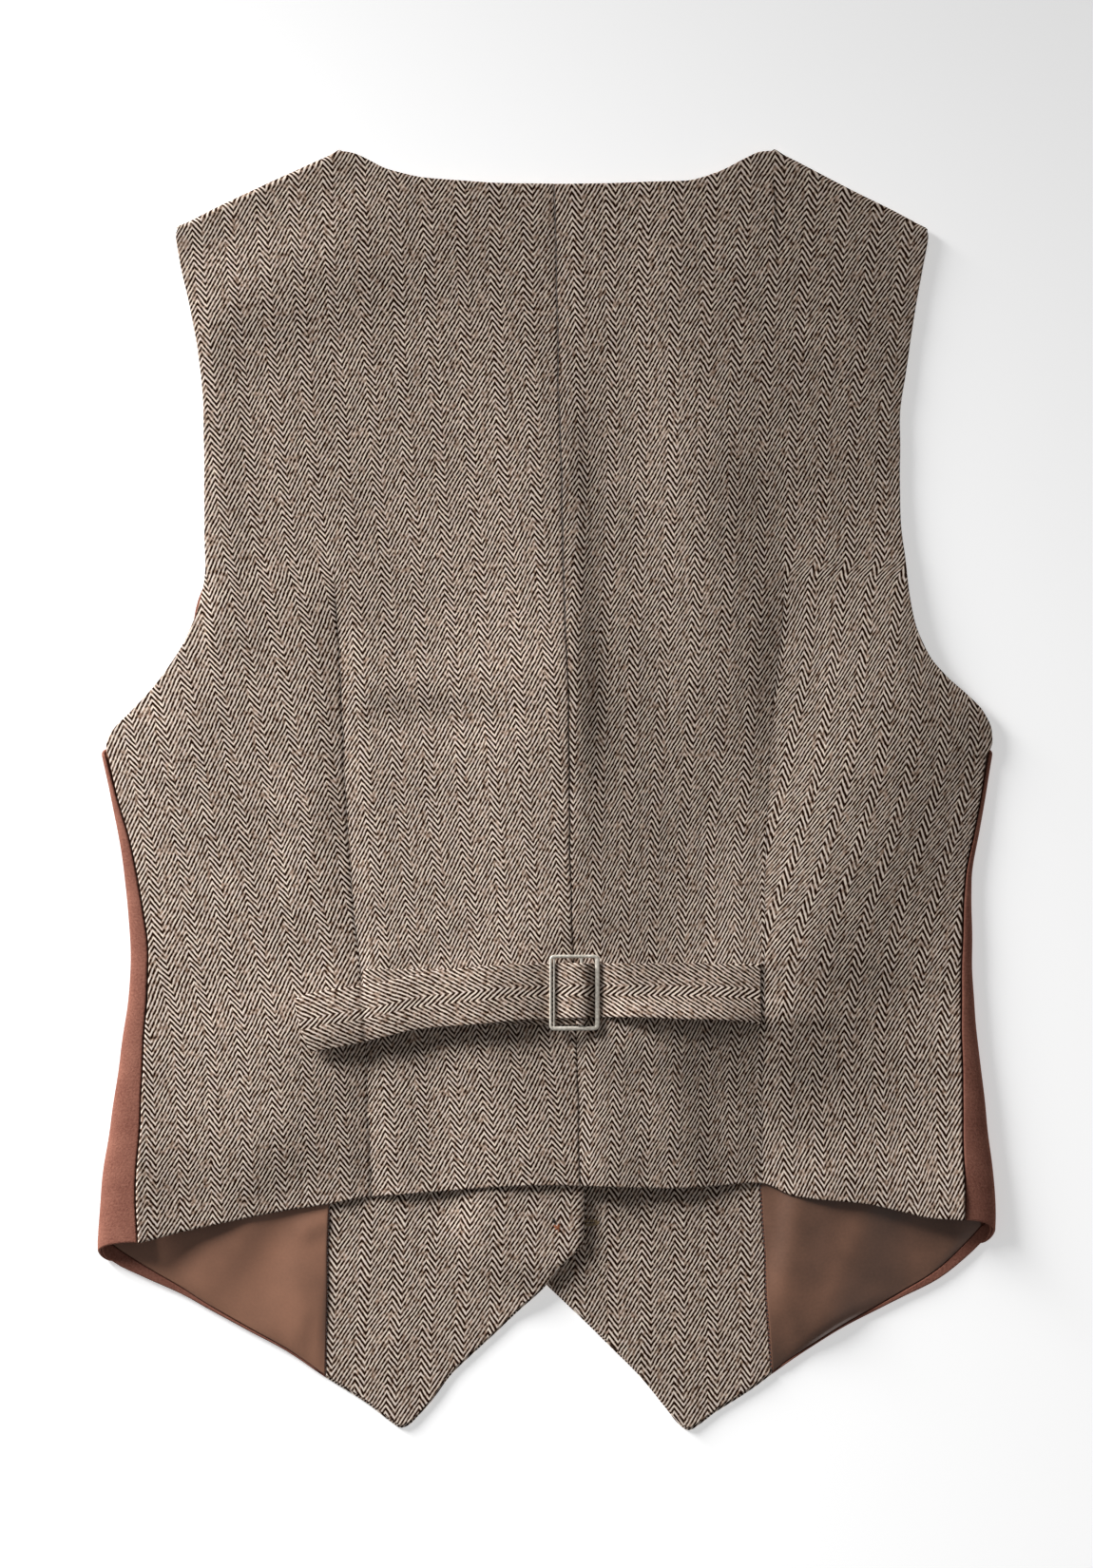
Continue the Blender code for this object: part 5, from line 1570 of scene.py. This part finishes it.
def thread_cross(x, y):
    """Two crossed pairs of threads over the dished face, through the four holes."""
    parts = []
    t = np.linspace(0, 1, 13)
    low = 0.62 - 0.42 * np.sin(np.pi * np.clip(1.12 * t - 0.06, 0, 1)) ** 0.6
    low[0], low[-1] = THREAD_DEEP, THREAD_DEEP
    across = mixed(-THREAD_REACH, THREAD_REACH, t)
    for way in (1, -1):
        for k in (-0.2, 0.2):
            path = points(x + way * across + k, y + across + way * k, low)
            parts.append(swept(path, THREAD_THICK, THREAD_THICK, power=2.0, sides=8))
    return parts


for number, y in enumerate(BUTTON_Y, 1):
    piece = turned_button(f"dressed_button_{number}")
    place = (np.array([BUTTON_X, y, 0.0]) - CENTRE) * MM
    for vert in piece.data.vertices:
        vert.co = vert.co + type(vert.co)(place)
    piece.data.shade_smooth()
    piece.data.set_sharp_from_angle(angle=np.radians(35))
    dressed(piece, f"button_{number}")
    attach(joined(f"button_thread_{number}", thread_cross(BUTTON_X, y), DARK_THREAD), "root")
print("buttons:", len(BUTTON_Y))

# %% [markdown]
# ## Stitches
#
# Everything that a needle leaves is many small copies of one stitch, so Geometry Nodes lay them:
# a line is walked at an even pitch and a slim bead of thread is set at each step, turned to the
# line and a little crooked. With a quarter turn the same group works a buttonhole, and thin, long
# and wildly crooked beads are the loose hairs along a cut edge.

# %% The stitch group
def stitch_group():
    tree = bpy.data.node_groups.new("stitches along a line", "GeometryNodeTree")
    face = tree.interface
    face.new_socket("Line", in_out="INPUT", socket_type="NodeSocketGeometry")
    numbers = {"Pitch": 2.0, "Length": 1.2, "Thickness": 0.3, "Turn": 0.0, "Crooked": 0.1}
    for label, value in numbers.items():
        socket = face.new_socket(label, in_out="INPUT", socket_type="NodeSocketFloat")
        socket.default_value = value
    face.new_socket("Seed", in_out="INPUT", socket_type="NodeSocketInt").default_value = 1
    face.new_socket("Thread", in_out="INPUT", socket_type="NodeSocketMaterial")
    face.new_socket("Stitches", in_out="OUTPUT", socket_type="NodeSocketGeometry")
    use = tree.nodes.new("NodeGroupInput").outputs
    give = tree.nodes.new("NodeGroupOutput").inputs
    walk = node(tree, "GeometryNodeMeshToCurve", {0: use["Line"]})
    even = {"Curve": walk, "Length": use["Pitch"]}
    walk = node(tree, "GeometryNodeResampleCurve", even, mode="LENGTH")
    bead = node(tree, "GeometryNodeMeshUVSphere", {"Segments": 8, "Rings": 5, "Radius": 0.5})
    size = vector_of(tree, use["Length"], use["Thickness"], use["Thickness"])
    bead = node(tree, "GeometryNodeTransform", {"Geometry": bead, "Scale": size})
    ahead = {"Vector": node(tree, "GeometryNodeInputTangent")}
    facing = node(tree, "FunctionNodeAlignRotationToVector", ahead, axis="X", pivot_axis="Z")
    dice = {0: (-1.0, -1.0, -1.0), 1: (1.0, 1.0, 1.0), "Seed": use["Seed"]}
    lean = node(tree, "FunctionNodeRandomValue", dice, data_type="FLOAT_VECTOR")
    lean = node(tree, "ShaderNodeVectorMath", {0: lean, "Scale": use["Crooked"]}, operation="SCALE")
    lean = node(tree, "ShaderNodeVectorMath", {0: lean, 1: vector_of(tree, 0.0, 0.0, use["Turn"])})
    lean = node(tree, "FunctionNodeEulerToRotation", {0: lean})
    turned = node(tree, "FunctionNodeRotateRotation", {0: facing, 1: lean}, rotation_space="LOCAL")
    beads = {"Points": walk, "Instance": bead, "Rotation": turned}
    beads = node(tree, "GeometryNodeInstanceOnPoints", beads)
    beads = node(tree, "GeometryNodeRealizeInstances", {0: beads})
    beads = node(tree, "GeometryNodeSetMaterial", {"Geometry": beads, "Material": use["Thread"]})
    tree.links.new(beads, give["Stitches"])
    return tree


STITCHES = stitch_group()


def stitched(name, lines, thread, seed, Turn, Crooked=0.1, **sizes):
    """Stitches along lines. The lines and sizes are in millimetres, Turn is in radians."""
    spots, edges = [], []
    for line in lines:
        edges += [(len(spots) + i, len(spots) + i + 1) for i in range(len(line) - 1)]
        spots += list((line - CENTRE) * MM)
    mesh = bpy.data.meshes.new(name)
    mesh.from_pydata(spots, edges, [])
    made = placed(name, mesh)
    needle = made.modifiers.new("Stitches", "NODES")
    needle.node_group = STITCHES
    values = {"Seed": seed, "Thread": thread, "Turn": Turn, "Crooked": Crooked}
    values.update({key: value * MM for key, value in sizes.items()})
    for item in STITCHES.interface.items_tree:
        if item.name in values:
            needle[item.identifier] = values[item.name]
    final = applied(made)
    final.shade_smooth()
    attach(made, "root")
    print(f"{name}: {len(final.polygons)} faces")


# %% [markdown]
# The lining is felled to the facing by hand, in small slanting stitches that draw its edge into
# scallops. Each buttonhole is worked over both faces of the right front, and each button leaves a
# knot on the inside of the left front, with the ends of its thread standing out. A worn hem shows
# a few loose hairs.

# %% Felling, buttonholes, knots and loose hairs
def facing_top(side, x, y):
    """Upper face of a facing."""
    return front_height(side, x, y) + TWEED / 2 + GAP + LINING


def along(y0, y1, step=2.0):
    return np.linspace(y0, y1, max(2, int(abs(y1 - y0) / step)))


for side, sign in SIGN.items():
    y = along(front_hem_y[side](PRINCESS[side][0]) + 4.0, 100.0)
    seam = points(sign * (princess_x[side](y) + 0.1), y, FRONT_MID + TWEED / 2 + GAP + LINING)
    sizes = {"Pitch": 1.9, "Length": 1.6, "Thickness": 0.6}
    stitched(f"felling_{side}", [warp(seam)], BROWN_THREAD, 3, Turn=0.5, **sizes)

HOLE_X, HOLE_DROP = 16.5, 1.5  # middle of a buttonhole, and how far below its button's
HOLE_HALF, SLIT_HALF = 9.6, 9.0  # half the length of its stitches and of its slit
holes = {"outside": [], "inside": []}
slits = []
for y in BUTTON_Y - HOLE_DROP:
    a = np.linspace(0.0, 2 * np.pi, 60)
    reach = np.abs(np.cos(a)) ** 0.5 * np.sign(np.cos(a))
    x, around = HOLE_X + HOLE_HALF * reach, y + np.sin(a)
    flat = front_height("right", x, around)
    holes["inside"].append(points(x, around, facing_top("right", x, around) + 0.05))
    holes["outside"].append(points(x, around, np.maximum(flat - TWEED / 2 - 0.05, 0.3)))
    x = np.linspace(HOLE_X - SLIT_HALF, HOLE_X + SLIT_HALF, 20)
    slit = points(x, y, facing_top("right", x, y) + 0.02)
    slits.append(swept(slit, 0.35, 0.3, power=2.0, sides=8))
sizes = {"Pitch": 0.62, "Length": 1.9, "Thickness": 0.5}
for face, lines in holes.items():
    stitched(f"buttonholes_{face}", lines, TAN_THREAD, 5, Turn=np.pi / 2, Crooked=0.12, **sizes)
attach(joined("buttonhole_slits", slits, DARK_THREAD), "root")

KNOTS = (("dark", 0.0, 0.4, 9, 1.2), ("rust", 1.9, -2.9, 12, 1.7))  # place, ends and their reach


def knot(number):
    """The back of a button's stitches, with loose ends."""
    dice = np.random.default_rng(50 + number)
    x, y = BUTTON_X, BUTTON_Y[number] - 0.5
    parts = {"dark": [], "rust": []}
    for colour, dx, dy, count, reach in KNOTS:
        for k in range(count):
            angle, far = dice.uniform(0, np.pi), dice.uniform(0.5, 1.0) * reach
            t = np.linspace(-1, 1, 9)
            side_step, high = dice.uniform(-0.5, 0.5), dice.uniform(0.1, 0.7)
            px = x + dx + side_step + far * t * np.cos(angle)
            py = y + dy - side_step + far * t * np.sin(angle) + 0.3 * np.sin(3 * t + k)
            pz = facing_top("left", px, py) + 0.05 + high * (1 - t**2)
            parts[colour].append(swept(points(px, py, pz), 0.28, 0.28, power=2.0, sides=6))
    return parts


for colour, thread in (("dark", DARK_THREAD), ("rust", RUST_THREAD)):
    bars = [bar for number in range(len(BUTTON_Y)) for bar in knot(number)[colour]]
    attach(joined(f"button_knots_{colour}", bars, thread), "root")

hems = []
for side, sign in SIGN.items():
    x = np.linspace(sign * (SIDE[side]["seam"][0] - 3.0), CENTRE_SEAM["x"][0], 130)
    hems.append(points(x, hem_y(x) + 0.2, cloth_height(x, hem_y(x))))
    y = along(40.0, 270.0)
    x = sign * (armhole_x[side](y) - 0.2)
    hems.append(points(x, y, cloth_height(x, y)))
sizes = {"Pitch": 0.55, "Length": 1.5, "Thickness": 0.05}
hems = [warp(line) for line in hems]
stitched("loose_hairs", hems, BROWN_THREAD, 9, Turn=1.2, Crooked=1.3, **sizes)

# %% [markdown]
# ## Floor, light and camera
#
# The floor is pale and plain. A large soft lamp stands low at the upper left, so that every
# crease throws a soft shade, and a wide dim one fills from the other side. The camera looks
# straight down on the garment.

# %% Stage, lamps and camera
WHITE = (1.0, 1.0, 1.0, 1.0)
FLOOR_HALF = 4
MATT_FLOOR = {
    "Base Color": srgb(240, 240, 240),
    "Roughness": 0.9,
    "Emission Color": WHITE,
    "Emission Strength": 0.45,
}


def lamp(name, place, aim, size, power, spread):
    """A softbox. A spread below 180 degrees is a honeycomb grid that narrows its beam."""
    light = bpy.data.lights.new(name, "AREA")
    light.shape = "RECTANGLE"
    light.size, light.size_y = size
    light.spread = np.radians(spread)
    light.energy = power
    made = placed(name, light)
    made.location = place
    towards = np.array(aim) - np.array(place)
    made.rotation_euler = type(made.location)(towards).to_track_quat("-Z", "Y").to_euler()


square = bpy.data.meshes.new("floor")
spots = [(x * FLOOR_HALF, y * FLOOR_HALF, 0) for x, y in ((-1, -1), (1, -1), (1, 1), (-1, 1))]
square.from_pydata(spots, [], [(0, 1, 2, 3)])
square.materials.append(new_material("pale_floor", MATT_FLOOR)[0])
placed("floor", square)
KEY = {"place": (-1.5, 1.22, 0.7), "aim": (-0.34, -0.26, 0.0), "size": (0.52, 1.15)}
FILL = {"place": (1.4, -0.8, 1.6), "aim": (0.0, 0.0, 0.0), "size": (1.6, 1.6)}
lamp("key", power=12.15, spread=60.0, **KEY)
lamp("fill", power=1.8, spread=180.0, **FILL)
world = bpy.data.worlds.new("studio")
world.use_nodes = True
glow = world.node_tree.nodes["Background"].inputs
glow["Color"].default_value = WHITE
glow["Strength"].default_value = 0.15
lens = bpy.data.cameras.new("camera")
lens.lens = 85.0
lens.sensor_width = 36.0
lens.clip_start = 0.05
camera = placed("camera", lens)
camera.location = (0.0, 0.003, 1.835)
scene = bpy.context.scene
scene.world = world
scene.camera = camera
scene.view_settings.view_transform = "Standard"

# %% [markdown]
# ## Cloth used
#
# The area of all the dressed cloth is printed at the end.

# %% Print the whole cut
print("whole cut:", round(sum(AREAS.values()), 3), "m2 of cloth")
